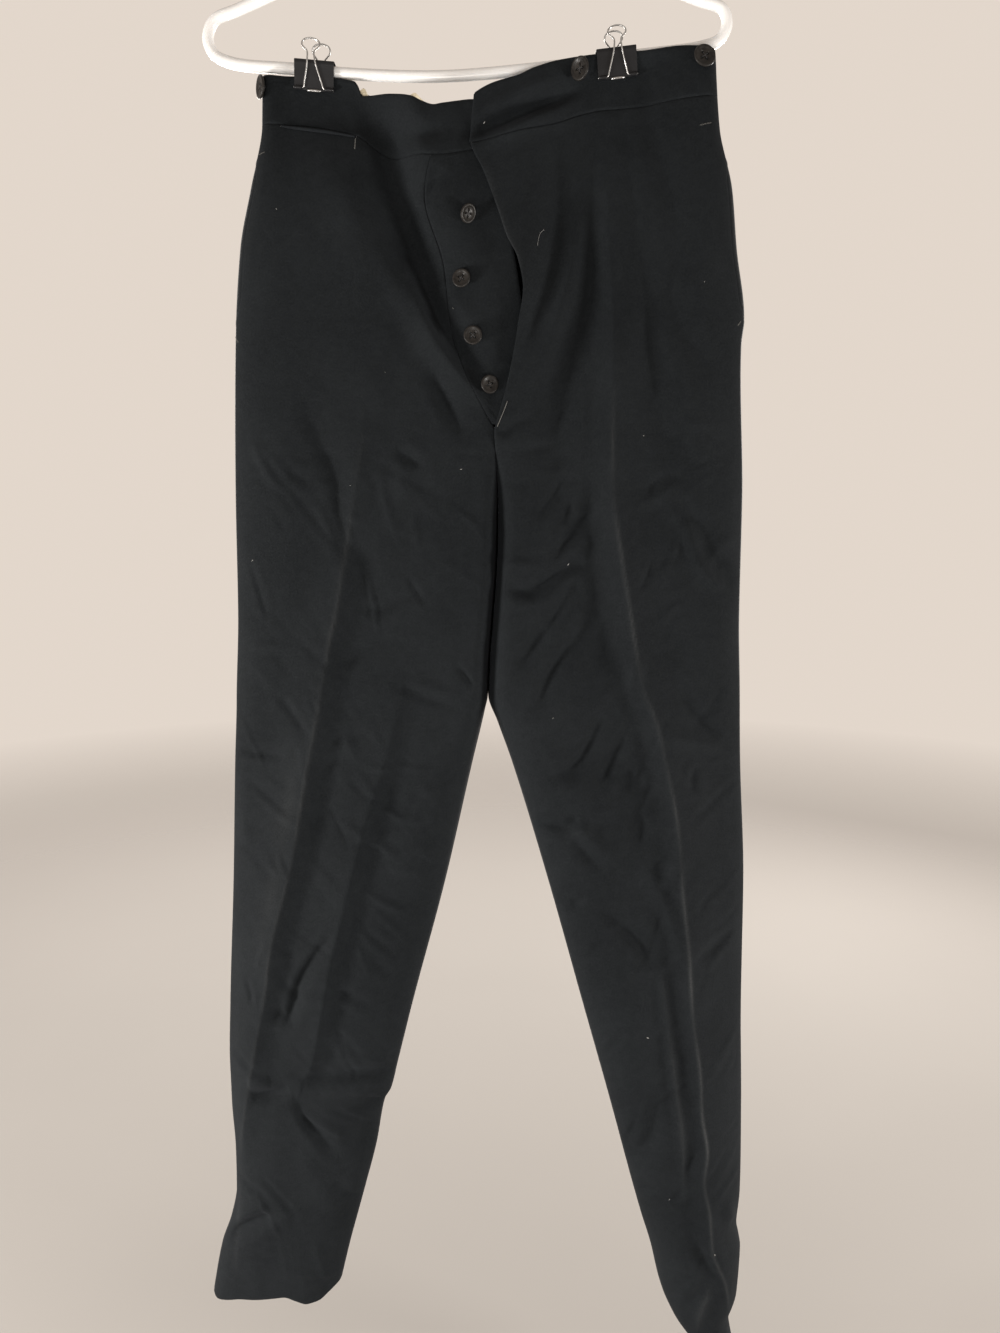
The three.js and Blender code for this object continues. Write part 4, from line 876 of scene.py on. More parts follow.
def watch_pocket_lip():
    u = np.linspace(0, 1, 60)[None, :]
    v = np.linspace(0, 1, 6)[:, None]
    x = mix(LIP_FROM, LIP_TO, u) + 0 * v
    fullness = np.sin(math.pi * np.clip(u, 0.03, 0.97)) ** 0.5
    down = waist_seam["left"](x) + 0.5 + mix(0.4, 2.6, fullness) * v
    y = cloth_y("front", "left", x, down) - WELT - 2 * HALF_GAP - np.sin(math.pi * v) * fullness
    outer = np.stack([x, y, -down], -1)
    obj, sheets = wall("watch_pocket_welt_cloth", outer, WELT, "front", view_dir("front"),
                       view_dir("front"), (0, WELT / 2, 0, 0))
    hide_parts("watch_pocket_welt")
    return obj, sheets


pieces["watch_pocket_welt"], grids["watch_pocket_welt"] = watch_pocket_lip()
print("the watch pocket is", LIP_TO - LIP_FROM, "mm wide")

# %% Lining strip
# Where the lining peeks over the band: x, half width, height
PEEKS = [(-75, 3.2, 8), (-32, 6, 5)]
LINING_FROM, LINING_TO = -92, -12
LINING_GAP, LINING_SUNK, WAVY = 0.35, 1.2, 0.25


def lining_strip():
    """Cream cotton behind the band's own wall, which peeks over its top in two places."""
    sheets = grids["waistband_front_left"]
    inner, out = sheets["inner"], sheets["out"]
    picked = np.flatnonzero((inner[0, :, 0] > LINING_FROM) & (inner[0, :, 0] < LINING_TO))
    under = inner[:, picked].copy()
    under[..., :2] -= out[:, picked] * LINING_GAP
    top = under[0, :, 0]
    lift = np.max([rise * np.exp(-(((top - x) / width) ** 2)) for x, width, rise in PEEKS], 0)
    share = np.linspace(1, 0, len(under))[:, None]
    under[..., 2] += (lift - LINING_SUNK + WAVY * np.sin(top * 0.9)) * share**3
    obj, sheets = wall("waistband_lining_cloth", under, LINING, "front", view_dir("front"),
                       view_dir("front"), (LINING / 2, 0, 0, 0))
    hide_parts("waistband_lining")
    return obj, sheets


pieces["waistband_lining"], grids["waistband_lining"] = lining_strip()
print("small cloth pieces:", [name for name in pieces if "pocket" in name or "lining" in name])

# %% [markdown]
# ## Tubes
# The hanger, the clips' wires, sewing thread and stray fibres are all tubes along a path. A bevelled
# curve object would be shorter to write, but meshes made here keep their ends closed and can be
# joined. The ring of points is carried along the path without twisting.

# %% Tube builder
def rows_of_quads(index):
    """Four-sided faces between rings of points, each ring closed on itself."""
    turned = np.roll(index, -1, axis=1)
    return np.stack([index[:-1], turned[:-1], turned[1:], index[1:]], -1).reshape(-1, 4).tolist()


def tube_mesh(path, radius, sides=12):
    """Points and faces of a tube along a path in millimetres, with closed ends."""
    path = np.asarray(path, float)
    step = np.gradient(path, axis=0)
    step /= np.maximum(np.linalg.norm(step, axis=1, keepdims=True), 1e-9)
    side = np.cross(step[0], (0.13, 0.97, 0.21))
    side /= np.linalg.norm(side)
    rings = []
    turn = np.linspace(0, 2 * math.pi, sides, endpoint=False)
    radius = np.broadcast_to(radius, len(path))
    for point, along, size in zip(path, step, radius):
        side = side - along * (side @ along)
        side /= np.linalg.norm(side)
        other = np.cross(along, side)
        rings.append(point + size * (np.cos(turn)[:, None] * side + np.sin(turn)[:, None] * other))
    index = np.arange(len(path) * sides).reshape(-1, sides)
    faces = rows_of_quads(index)
    faces += [index[0][::-1].tolist(), index[-1].tolist()]
    return np.vstack(rings), faces


print("a short tube has", len(tube_mesh([(0, 0, 0), (0, 0, 5), (0, 0, 10)], 1)[1]), "faces")

# %% Joined parts and rounded paths
def joined(parts):
    """Several (points, faces) as one."""
    points, faces, base = [], [], 0
    for some, theirs in parts:
        points.append(some)
        faces += [[n + base for n in face] for face in theirs]
        base += len(some)
    return np.vstack(points), faces


def rounded_path(points, steps=10):
    """A centripetal curve through 3-D points, which doesn't loop at tight corners."""
    p = np.asarray(points, float)
    p = np.vstack([2 * p[0] - p[1], p, 2 * p[-1] - p[-2]])
    made = []
    for a, b, c, d in zip(p[:-3], p[1:-2], p[2:-1], p[3:]):
        gaps = [max(np.linalg.norm(q - r), 1e-6) ** 0.5 for q, r in ((b, a), (c, b), (d, c))]
        k = np.cumsum([0, *gaps])
        t = np.linspace(k[1], k[2], steps, endpoint=False)[:, None]
        ab = (k[1] - t) / (k[1] - k[0]) * a + (t - k[0]) / (k[1] - k[0]) * b
        bc = (k[2] - t) / (k[2] - k[1]) * b + (t - k[1]) / (k[2] - k[1]) * c
        cd = (k[3] - t) / (k[3] - k[2]) * c + (t - k[2]) / (k[3] - k[2]) * d
        abc = (k[2] - t) / (k[2] - k[0]) * ab + (t - k[0]) / (k[2] - k[0]) * bc
        bcd = (k[3] - t) / (k[3] - k[1]) * bc + (t - k[1]) / (k[3] - k[1]) * cd
        made.append((k[2] - t) / (k[2] - k[1]) * abc + (t - k[1]) / (k[2] - k[1]) * bcd)
    return np.vstack([*made, p[-2:-1]])


print("a corner of 3 points becomes", len(rounded_path([(0, 0, 0), (1, 0, 0), (1, 0, 1)])), "points")

# %% [markdown]
# ## Hanger
# A shop hanger is one bent tube of moulded plastic, with its hook grown from a thicker neck. The arms
# rise from rounded ends to the neck, and the bar below sags a little under the clips.

# %% Hanger
TUBE_RADIUS, HOOK_INNER_RADIUS, NECK_RADIUS = 4.4, 22, 6
NECK_X, NECK_DOWN, ARM_SAG = 4, 90, 3
LEFT_END = [(-192, 186), (-196.5, 175), (-191, 162)]
RIGHT_END = [(205, 175.5), (210.5, 165), (207, 154)]


def shoulder(end, t):
    sag = ARM_SAG * math.sin(math.pi * t)
    return (mix(NECK_X, end[0], t), mix(NECK_DOWN, end[1], t) - sag)


def hanger():
    arms = [
        (NECK_X - 0.4, NECK_DOWN), *(shoulder(LEFT_END[-1], t) for t in (0.2, 0.5, 0.9)),
        *reversed(LEFT_END), *BAR, *RIGHT_END,
        *(shoulder(RIGHT_END[-1], t) for t in (0.9, 0.5, 0.2)), (NECK_X + 0.4, NECK_DOWN),
    ]
    loop = rounded_path([(x, 0, -down) for x, down in arms], 14)
    reach = HOOK_INNER_RADIUS + TUBE_RADIUS
    turns = np.radians(np.arange(200, -41, -12))
    hook = [(reach * math.cos(a), 0, reach * math.sin(a) - HOOK_INNER_RADIUS) for a in turns]
    hook += [(7, 0, -54), (NECK_X, 0, -68), (NECK_X, 0, -NECK_DOWN)]
    stem = rounded_path(hook, 5)
    size = np.full(len(stem), TUBE_RADIUS)
    size[:4] = TUBE_RADIUS * np.array([0.55, 0.82, 0.95, 1])
    level = np.linspace(-math.pi / 2, math.pi / 2, 17)
    knob = np.stack([np.full(17, NECK_X), np.zeros(17), -NECK_DOWN + NECK_RADIUS * np.sin(level)], -1)
    ball = tube_mesh(knob, np.maximum(NECK_RADIUS * np.cos(level), 0.05), 24)
    parts = [tube_mesh(loop, TUBE_RADIUS, 24), tube_mesh(stem, size, 24), ball]
    obj = mesh_object("hanger_tube", *joined(parts))
    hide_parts("hanger")
    return obj


pieces["hanger"] = hanger()
print("hanger bar spans", LEFT_END[1][0], "to", RIGHT_END[1][0], "mm")

# %% [markdown]
# ## Spring clips
# A binder clip is a strip of spring steel bent to a triangle, with two small rolls at each jaw that
# hold a wire handle. The strip is drawn as a section with rounded corners and pushed along its
# length, and the rolls are short tubes round the wire's feet.

# %% Clip section and place
def jaw_height(clip):
    return -(float(bar_down(clip.x)) + JAW_BELOW_BAR)


def clip_frame(clip):
    """Turns a clip's own measures (across, out, up from the jaws) into the garment's."""
    turn = math.radians(clip.tilt)
    across = np.array([math.cos(turn), 0, math.sin(turn)])
    up = np.array([-math.sin(turn), 0, math.cos(turn)])
    origin = np.array([clip.x, 0, jaw_height(clip)])
    out = np.array([0, 1, 0])
    return lambda p: origin + p[..., :1] * across + p[..., 1:2] * out + p[..., 2:] * up


def clip_section():
    """Middle line of the bent strip, from one jaw round the spine to the other."""
    corner = 2.0
    half = [(JAW, 0), (JAW + 0.25, 1.2)]
    half += [(mix(JAW, SPINE, t), CLIP_RISE * t) for t in (0.3, 0.6, 0.88)]
    for angle in np.radians((15, 45, 75)):
        out = SPINE - corner * 0.8 * (1 - math.cos(angle))
        half.append((out, CLIP_RISE - 1 + corner * 0.6 * math.sin(angle)))
    half.append((SPINE * 0.4, CLIP_RISE + 0.45))
    return np.array([*half, (0, CLIP_RISE + 0.4), *((-x, z) for x, z in reversed(half))])


print("the strip of a clip bends through", len(clip_section()), "points")

# %% Clip body
# The wire's radius, its play and its height, where its feet lie, and how far the tops lean in
WIRE, WIRE_GAP, WIRE_UP = 0.64, 0.3, 1.0
FOOT_FROM, FOOT_TO = 8.2, 15.6
HANDLE_TOP, TOPS_IN = 37.1, 5
MIDDLE_ROLL = 5.3


def wire_out(up):
    """How far from the middle plane a handle's wire lies, against the outside of its clip."""
    wall_out = mix(JAW, SPINE, np.clip(up / CLIP_RISE, 0, 1))
    clear = SHEET_STEEL + WIRE_GAP + WIRE + 0.15
    return wall_out + clear - TOPS_IN * smooth(CLIP_RISE + 1, HANDLE_TOP, up)


def clip_body(clip):
    line = clip_section()
    step = np.gradient(line, axis=0)
    normal = unit(np.stack([step[:, 1], -step[:, 0]], -1))
    outline = np.vstack([line + normal * SHEET_STEEL, line[::-1]])
    middle = outline.mean(0)
    spans = np.array([-1, -0.985, -0.96, -0.5, 0, 0.5, 0.96, 0.985, 1]) * CLIP_LENGTH / 2
    shrink = np.array([0.25, 0.1, 0, 0, 0, 0, 0, 0.1, 0.25])
    points = []
    for s, c in zip(spans, shrink):
        drawn_in = outline + (middle - outline) * c * 0.03
        points.append(np.column_stack([np.full(len(outline), s), drawn_in]))
    count = len(outline)
    index = np.arange(count * len(spans)).reshape(len(spans), count)
    faces = rows_of_quads(index)
    half = count // 2
    for row, flip in ((index[0], False), (index[-1], True)):
        for n in range(half - 1):
            quad = [row[n], row[n + 1], row[count - 2 - n], row[count - 1 - n]]
            faces.append([int(q) for q in (quad[::-1] if flip else quad)])
    parts = [(np.vstack(points), faces)]
    for face in (-1, 1):
        for hand in (-1, 1):
            along = np.linspace(FOOT_FROM + 0.4, FOOT_TO - 0.2, 6)[:, None] * hand
            out = np.full(6, face * (wire_out(WIRE_UP) - 0.1))
            seat = np.column_stack([along, out, np.full(6, WIRE_UP)])
            size = np.array([1.08, 1.3, 1.32, 1.32, 1.3, 1.08])
            parts.append(tube_mesh(seat, size, 14))
    enamel_faces = sum(len(some[1]) for some in parts)
    for face in (-1, 1):
        along = np.linspace(-MIDDLE_ROLL, MIDDLE_ROLL, 5)[:, None]
        seat = np.column_stack([along, np.full(5, face * (JAW + 0.9)), np.full(5, -0.15)])
        parts.append(tube_mesh(seat, np.array([0.85, 1, 1, 1, 0.85]), 14))
    points, faces = joined(parts)
    obj = mesh_object(f"clip_{clip.name}_enamel", clip_frame(clip)(points), faces)
    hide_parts(f"clip_{clip.name}_body")
    return obj, enamel_faces


print("a wire lies", round(float(wire_out(0)), 2), "mm out at the jaws")
print("and", round(float(wire_out(HANDLE_TOP)), 2), "mm out at its top")

# %% Clip handles
# Half a handle: across from its middle, up from the jaws.
HANDLE = [
    (15.6, 1), (10, 1), (8.3, 1.2), (7.5, 2.4), (7.0, 4.5), (4.1, 14.4), (3.0, 19.6), (2.6, 25),
    (3.3, 27), (5.0, 28.8), (6.9, 31.4), (6.7, 34), (4.7, 36), (2.4, 36.8),
]


def clip_handle(clip, face, facing):
    half = np.array(HANDLE)
    whole = np.vstack([half, [(0, HANDLE_TOP)], half[::-1] * (-1, 1)])
    lean = (clip.lean_front if face == "front" else clip.lean_back) * whole[:, 1] / HANDLE_TOP
    path = np.column_stack([whole[:, 0] + lean, facing * wire_out(whole[:, 1]), whole[:, 1]])
    points, faces = tube_mesh(rounded_path(path, 8), WIRE, 12)
    obj = mesh_object(f"clip_{clip.name}_wire_{face}", clip_frame(clip)(points), faces)
    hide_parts(f"clip_{clip.name}_handle_{face}")
    return obj


enamel_faces = {}
for clip in CLIPS:
    pieces[f"clip_{clip.name}_body"], enamel_faces[clip.name] = clip_body(clip)
    for face, facing in (("front", -1), ("back", 1)):
        pieces[f"clip_{clip.name}_handle_{face}"] = clip_handle(clip, face, facing)
print("clips grip the band at", [round(jaw_height(clip), 1) for clip in CLIPS], "mm")

# %% [markdown]
# ## Buttons
# The buttons are turned horn: a disc with a raised rim, a dished middle and four drilled holes, held
# by black thread on a short shank. The profile is spun on a lathe, the holes are cut with a boolean,
# and each button leans as its thread lets it.

# %% Button disc
Size = namedtuple("Size", "radius thickness rim dish hole spread")
FLY_SIZE = Size(7.4, 2.4, 1.9, 0.8, 1.25, 2.1)
BRACE_SIZE = Size(8.7, 2.8, 2.2, 0.95, 1.45, 2.5)


SEGMENTS = 56


def button_profile(size):
    """Radius and height from the middle of the underside round the rim to the dish."""
    r, t = size.radius, size.thickness
    return [
        (r * 0.3, 0), (r * 0.72, 0), (r * 0.86, 0.18 * t), (r * 0.97, 0.42 * t), (r, 0.58 * t),
        (r * 0.985, 0.78 * t), (r - 0.18 * size.rim, 0.93 * t), (r - 0.45 * size.rim, t),
        (r - 0.8 * size.rim, 0.97 * t), (r - 1.15 * size.rim, t - 0.55 * size.dish),
        (r - 1.5 * size.rim, t - size.dish), (r * 0.38, dish_height(size)),
    ]


def dish_height(size):
    return size.thickness - 1.15 * size.dish


def button_disc(name, size):
    turn = np.linspace(0, 2 * math.pi, SEGMENTS, endpoint=False)
    rings = []
    for radius, height in button_profile(size):
        flat = radius * np.cos(turn), radius * np.sin(turn)
        rings.append(np.column_stack([*flat, np.full(SEGMENTS, height)]))
    points = np.vstack([*rings, [(0, 0, 0)], [(0, 0, dish_height(size))]])
    index = np.arange(len(rings) * SEGMENTS).reshape(-1, SEGMENTS)
    faces = rows_of_quads(index)
    low, high = len(points) - 2, len(points) - 1
    for n in range(SEGMENTS):
        m = (n + 1) % SEGMENTS
        faces.append([low, int(index[0, m]), int(index[0, n])])
        faces.append([high, int(index[-1, n]), int(index[-1, m])])
    return mesh_object(name, points, faces)


print("a fly button is", 2 * FLY_SIZE.radius, "mm across and", FLY_SIZE.thickness, "mm thick")

# %% Drilled button
# Where a hole is, as share of the spread, and how wide, as share of its size
HOLE_AT, HOLE_WIDE = 0.75, 0.72


def button_mesh(name, size):
    disc = button_disc(name, size)
    t = size.thickness
    drills = []
    for sx in (-1, 1):
        for sy in (-1, 1):
            x, y = sx * size.spread * HOLE_AT, sy * size.spread * HOLE_AT
            way = [(x, y, -1), (x, y, t / 2), (x, y, t + 1)]
            drills.append(tube_mesh(way, size.hole * HOLE_WIDE, 12))
    drill = mesh_object(name + "_drill", *joined(drills), smooth_faces=False)
    cut = disc.modifiers.new("holes", "BOOLEAN")
    cut.object, cut.operation, cut.solver = drill, "DIFFERENCE", "EXACT"
    graph = bpy.context.evaluated_depsgraph_get()
    made = bpy.data.meshes.new_from_object(disc.evaluated_get(graph))
    bpy.data.objects.remove(disc)
    bpy.data.objects.remove(drill)
    return made


MESHES = {size: button_mesh(f"button_{n}", size) for n, size in enumerate((FLY_SIZE, BRACE_SIZE))}
print("drilled meshes of", [len(mesh.polygons) for mesh in MESHES.values()], "faces")


# %% Thread and shank
def thread_parts(size, seat):
    """Thread through the holes, in a cross, and the wrapped shank below."""
    top = dish_height(size)
    parts = []
    reach = size.spread * HOLE_AT
    for sx, sy in ((1, 1), (1, -1)):
        for shift in (-0.13, 0.13):
            ax, ay = -reach * sx - shift * sy, -reach * sy + shift * sx
            bx, by = reach * sx - shift * sy, reach * sy + shift * sx
            path = [(ax, ay, top - 1.2), (ax, ay, top + 0.05), (ax * 0.6, ay * 0.6, top + 0.42),
                    (bx * 0.6, by * 0.6, top + 0.42), (bx, by, top + 0.05), (bx, by, top - 1.2)]
            parts.append(tube_mesh(rounded_path(path, 5), 0.14, 6))
    shank = [(0, 0, -seat), (0, 0, -seat * 0.5), (0, 0, 0.3)]
    parts.append(tube_mesh(shank, size.spread * np.array([0.95, 0.75, 0.95]), 12))
    return parts


print("the thread of one button has", len(thread_parts(FLY_SIZE, 2)), "parts")


# %% One button on its cloth
def seat_on(face, side, x, down, reach):
    """The cloth under a button: its middle, and the direction that it faces."""
    steps = np.array([(0, 0), (reach, 0), (-reach, 0), (0, reach), (0, -reach)], float)
    at = np.array([(x, down)]) + steps
    y = cloth_y(face, side, at[:, 0], at[:, 1])
    out = np.array([(y[1] - y[2]) / (2 * reach), -1, -(y[3] - y[4]) / (2 * reach)])
    return np.array([x, y[0], -down]), out / np.linalg.norm(out)


def set_button(node, size, point, out, lean, stand):
    """Lays one button on its shank: out is the cloth's direction, lean tips the disc on it."""
    name = node + "_horn"
    axis = Vector(out + np.array(lean)).normalized()
    turn = Vector((0, 0, 1)).rotation_difference(axis).to_matrix().to_4x4()
    base = Vector(point) + Vector(out) * stand
    disc = bpy.data.objects.new(name, MESHES[size].copy())
    disc.data.transform(Matrix.Translation(base * MM) @ turn)
    disc.data.shade_smooth()
    bpy.context.scene.collection.objects.link(disc)
    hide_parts(node)
    points, faces = joined(thread_parts(size, stand * 0.9))
    thread = mesh_object(name + "_thread", points, faces)
    thread.data.transform(Matrix.Translation(base * MM) @ turn)
    return disc, thread


print("a button stands on its own shank, which the table below makes 2 to 7 mm long")

# %% Lay the buttons
# Node, which front, x, down, reach of the cloth under it, lean, stand-off
BUTTONS = [
    ("fly_button_1", "left", 6.2, 309.3, 5, (0.72, 0, -0.55), 4.2),
    ("fly_button_2", "left", 2.6, 357.6, 5, (-0.1, 0, 0.12), 1.9),
    ("fly_button_3", "left", 11.4, 401.7, 5, (0.16, 0, 0.1), 2.1),
    ("fly_button_4", "left", 23.7, 440, 5, (0.24, 0, -0.08), 2.1),
    ("brace_button_mid", "right", 94, 199.5, 6, (-1.2, 0, 0.1), 6.6),
    ("brace_button_right", "right", 191, 192.5, 6, (0.1, 0, 0.1), 2.4),
    ("brace_button_left", "left", -152.6, 212, 1, (0, 0, 0), 1.6),
]
# The left one sits on the turn of the band and faces outwards
TURNED = {"brace_button_left": np.array([-0.87, -0.5, 0]) / math.hypot(0.87, 0.5)}
buttons, threads = [], []
for node, side, x, down, reach, lean, stand in BUTTONS:
    point, out = seat_on("front", side, x, down, reach)
    size = FLY_SIZE if "fly" in node else BRACE_SIZE
    disc, thread = set_button(node, size, point, TURNED.get(node, out), lean, stand)
    buttons.append(disc)
    threads.append(thread)
print(len(buttons), "buttons, the band's", 2 * BRACE_SIZE.radius, "mm across")

# %% [markdown]
# ## Tacks and lint
# Short bars of black thread lock the ends of each pocket; they are coloured pale, a painted highlight
# for the light they catch. Black wool also picks up lint. Both are small tubes laid on the cloth: a
# tack zigzags over its line, and a fibre curls.

# %% Sewn tacks
# Tack: which front, start and end as x and down, half width, thread radius
TACKS = [
    ("left", (-81.5, 249.5), (-82, 258.5), 0.35, 0.13),
    ("left", (-140.5, 240.6), (-138, 241), 0.4, 0.13),
    ("right", (189.5, 242), (198.5, 240), 0.35, 0.12),
    ("right", (226, 392), (229, 388.5), 0.4, 0.14),
    ("left", (-158.5, 262), (-153, 261), 0.4, 0.13),
    ("left", (-181, 405), (-184.5, 400), 0.4, 0.13),
]


def tack(side, start, end, half, radius):
    start, end = np.array(start, float), np.array(end, float)
    along = end - start
    count = max(8, int(np.linalg.norm(along) * 2.2))
    t = np.linspace(0, 1, count)
    across = np.array([-along[1], along[0]]) / np.linalg.norm(along)
    flat = start + t[:, None] * along + across * (half * (-1.0) ** np.arange(count))[:, None]
    y = cloth_y("front", side, flat[:, 0], flat[:, 1]) - radius * 1.2
    return tube_mesh(rounded_path(np.column_stack([flat[:, 0], y, -flat[:, 1]]), 3), radius, 6)


tacks = mesh_object("pocket_tacks", *joined([tack(*row) for row in TACKS]))
print(len(TACKS), "tacks lie on the fronts")

# %% Edge thread of the fly and lint
EDGE_THREAD = [(37.6, 453), (35, 460), (32, 467), (29.4, 473)]


def on_front(side, x, down, off):
    x, down = np.asarray(x, float), np.asarray(down, float)
    return np.column_stack([x, cloth_y("front", side, x, down) - off, -down])


flat = np.array(EDGE_THREAD)
edge_thread = tube_mesh(rounded_path(on_front("right", flat[:, 0] + 1.2, flat[:, 1], 0.2), 6), 0.22, 6)
thread_piece = mesh_object("fly_edge_thread", *edge_thread)

# Lint: which front, x, down, length, thickness
LINT = [
    ("right", 20.5, 240, 2.0, 0.5), ("left", -144, 305, 1.2, 0.35), ("left", -5, 380, 1.6, 0.3),
    ("right", 90, 585, 1.9, 0.5), ("left", 1, 507, 1.6, 0.4), ("right", 166, 1010, 2.2, 0.6),
    ("left", -175, 582, 2.4, 0.3), ("right", 78, 715, 1.4, 0.4), ("right", 232, 1222, 1.8, 0.5),
    ("right", 190, 1172, 1.3, 0.4), ("right", 150, 480, 1.0, 0.3), ("left", -90, 520, 1.1, 0.25),
    ("left", -60, 430, 0.9, 0.25), ("right", 196, 360, 0.9, 0.25),
]
fibres = []
for side, x, down, length, thick in LINT:
    angle = rng.uniform(0, math.pi)
    t = np.linspace(-0.5, 0.5, 5)
    bend = rng.uniform(-0.5, 0.5) * length * (t**2 - 0.08)
    px = x + length * t * math.cos(angle) - bend * math.sin(angle)
    pd = down + length * t * math.sin(angle) + bend * math.cos(angle)
    size = thick / 2 * np.array([0.5, 0.9, 1, 0.9, 0.5])
    fibres.append(tube_mesh(on_front(side, px, pd, thick * 0.4), size, 6))
hair = np.array([(68, 320), (65, 323), (63.5, 327), (62.5, 333)])
fibres.append(tube_mesh(rounded_path(on_front("right", hair[:, 0], hair[:, 1], 0.2), 6), 0.09, 6))
lint = mesh_object("lint", *joined(fibres))
print(len(fibres), "fibres")

# %% [markdown]
# ## Shader arithmetic
# A finish is easier to read as arithmetic than as a web of nodes. One small class stands for a
# socket: adding or multiplying two of them adds a Math node, and every other node comes from one
# method. Numbers that are the same all over a surface are set on the shader itself.

# %% Sockets
class Value:
    """One socket of a material. Arithmetic on it adds Math nodes."""

    def __init__(self, finish, socket):
        self.finish = finish
        self.socket = socket

    def math(self, operation, *values):
        return self.finish.node("ShaderNodeMath", {"operation": operation}, dict(enumerate(values)))

    def __add__(self, other):
        return self.math("ADD", self, other)

    def __rsub__(self, other):
        return self.math("SUBTRACT", other, self)

    def __mul__(self, other):
        return self.math("MULTIPLY", self, other)

    def __pow__(self, other):
        return self.math("POWER", self, other)

    def sine(self):
        return self.math("SINE", self)

    def between(self, low, high):
        """0 at low and 1 at high, and never beyond."""
        return self.finish.node("ShaderNodeMapRange", {}, {0: self, 1: low, 2: high, 3: 0.0, 4: 1.0})

    __radd__ = __add__
    __rmul__ = __mul__


# %% Finishes
class Finish:
    """A material with its Principled shader. In a keyword an underscore stands for a space."""

    def __init__(self, name, **constants):
        self.material = bpy.data.materials.new(name)
        self.material.use_nodes = True
        self.tree = self.material.node_tree
        self.shader = self.tree.nodes["Principled BSDF"]
        for socket, value in constants.items():
            self.set(socket.replace("_", " "), value)

    def node(self, kind, settings, sockets, output=0):
        made = self.tree.nodes.new(kind)
        for key, value in settings.items():
            setattr(made, key, value)
        for key, value in sockets.items():
            self.plug(made.inputs[key], value)
        return Value(self, made.outputs[output])

    def plug(self, socket, value):
        if isinstance(value, Value):
            self.tree.links.new(value.socket, socket)
        else:
            socket.default_value = value

    def set(self, socket, value):
        self.plug(self.shader.inputs[socket], value)

    def cloth_place(self):
        return self.node("ShaderNodeUVMap", {"uv_map": "cloth"}, {})

    def place(self):
        return self.node("ShaderNodeTexCoord", {}, {}, "Object")

    def noise(self, place, scale, detail=2.0, roughness=0.5, distortion=0.0):
        values = {"Vector": place, "Scale": scale, "Detail": detail, "Roughness": roughness,
                  "Distortion": distortion}
        return self.node("ShaderNodeTexNoise", {}, values)

    def parts(self, vector):
        split = self.tree.nodes.new("ShaderNodeSeparateXYZ")
        self.plug(split.inputs[0], vector)
        return [Value(self, out) for out in split.outputs]

    def blend(self, factor, a, b):
        return self.node("ShaderNodeMix", {"data_type": "RGBA"}, {0: factor, 6: a, 7: b}, 2)

    def bump(self, height, distance, strength):
        values = {"Height": height, "Distance": distance, "Strength": strength}
        return self.node("ShaderNodeBump", {}, values)

    def done(self):
        print(self.material.name, "has", len(self.tree.nodes), "nodes")
        return self.material


# %% [markdown]
# ## Wool
# Black suiting is never quite black: the yarns are a little uneven, the nap catches light at a glance,
# and pressed edges are painted pale, partly for their wear and partly as a painted highlight where the
# ridge catches the light. The weave is a fine twill, drawn from the cloth's own flat measures, so that
# it turns with each piece. Colour, nap and twill are three separate scales of the same surface.

# %% Wool finish
TWILL_PITCH, YARN_PITCH = 0.0011, 0.0009
NEAR_BLACK = (0.0022, 0.0029, 0.0036, 1)
LIFTED_BLACK = (0.0092, 0.0108, 0.0122, 1)
# Pale colour of pressed edges: partly wear, partly a painted highlight where the ridge catches the light
CREASE_WEAR_AND_HIGHLIGHT = (0.056, 0.058, 0.059, 1)


def wool_finish():
    f = Finish("black_wool_twill", Metallic=0.0)
    f.set("Specular IOR Level", 0.085)
    f.set("Sheen Weight", 0.016)
    f.set("Sheen Roughness", 0.45)
    f.set("Sheen Tint", (0.62, 0.66, 0.78, 1))
    cloth = f.cloth_place()
    across, down, _ = f.parts(cloth)
    slow = f.noise(cloth, 11.0, 3.0, 0.55).between(0.32, 0.68)
    nap = f.noise(cloth, 620.0, 3.0, 0.65).between(0.3, 0.72)
    slub = f.noise(cloth, 150.0, 2.0, 0.6).between(0.38, 0.7)
    line = (across + down) * (2 * math.pi / TWILL_PITCH)
    twill = line.sine() * 0.5 + 0.5
    tone = slow * 0.3 + nap * 0.42 + slub * 0.16 + twill * 0.12
    colour = f.blend(tone, NEAR_BLACK, LIFTED_BLACK)
    # The mesh's mark paints creases paler: partly wear, partly a painted highlight along the ridge
    rubbed = f.node("ShaderNodeAttribute", {"attribute_name": "rubbed"}, {}, "Fac")
    f.set("Base Color", f.blend(rubbed * (nap * 0.6 + 0.4), colour, CREASE_WEAR_AND_HIGHLIGHT))
    f.set("Roughness", 0.92 - nap * 0.1)
    f.set("Normal", f.bump(twill * 0.5 + nap * 0.9 + slub * 0.6, 0.00022, 0.55))
    return f.done()


wool = wool_finish()

# %% Pale creases, part wear and part painted highlight, as a measure on the mesh
CREASE_MARK_MARGIN = 12


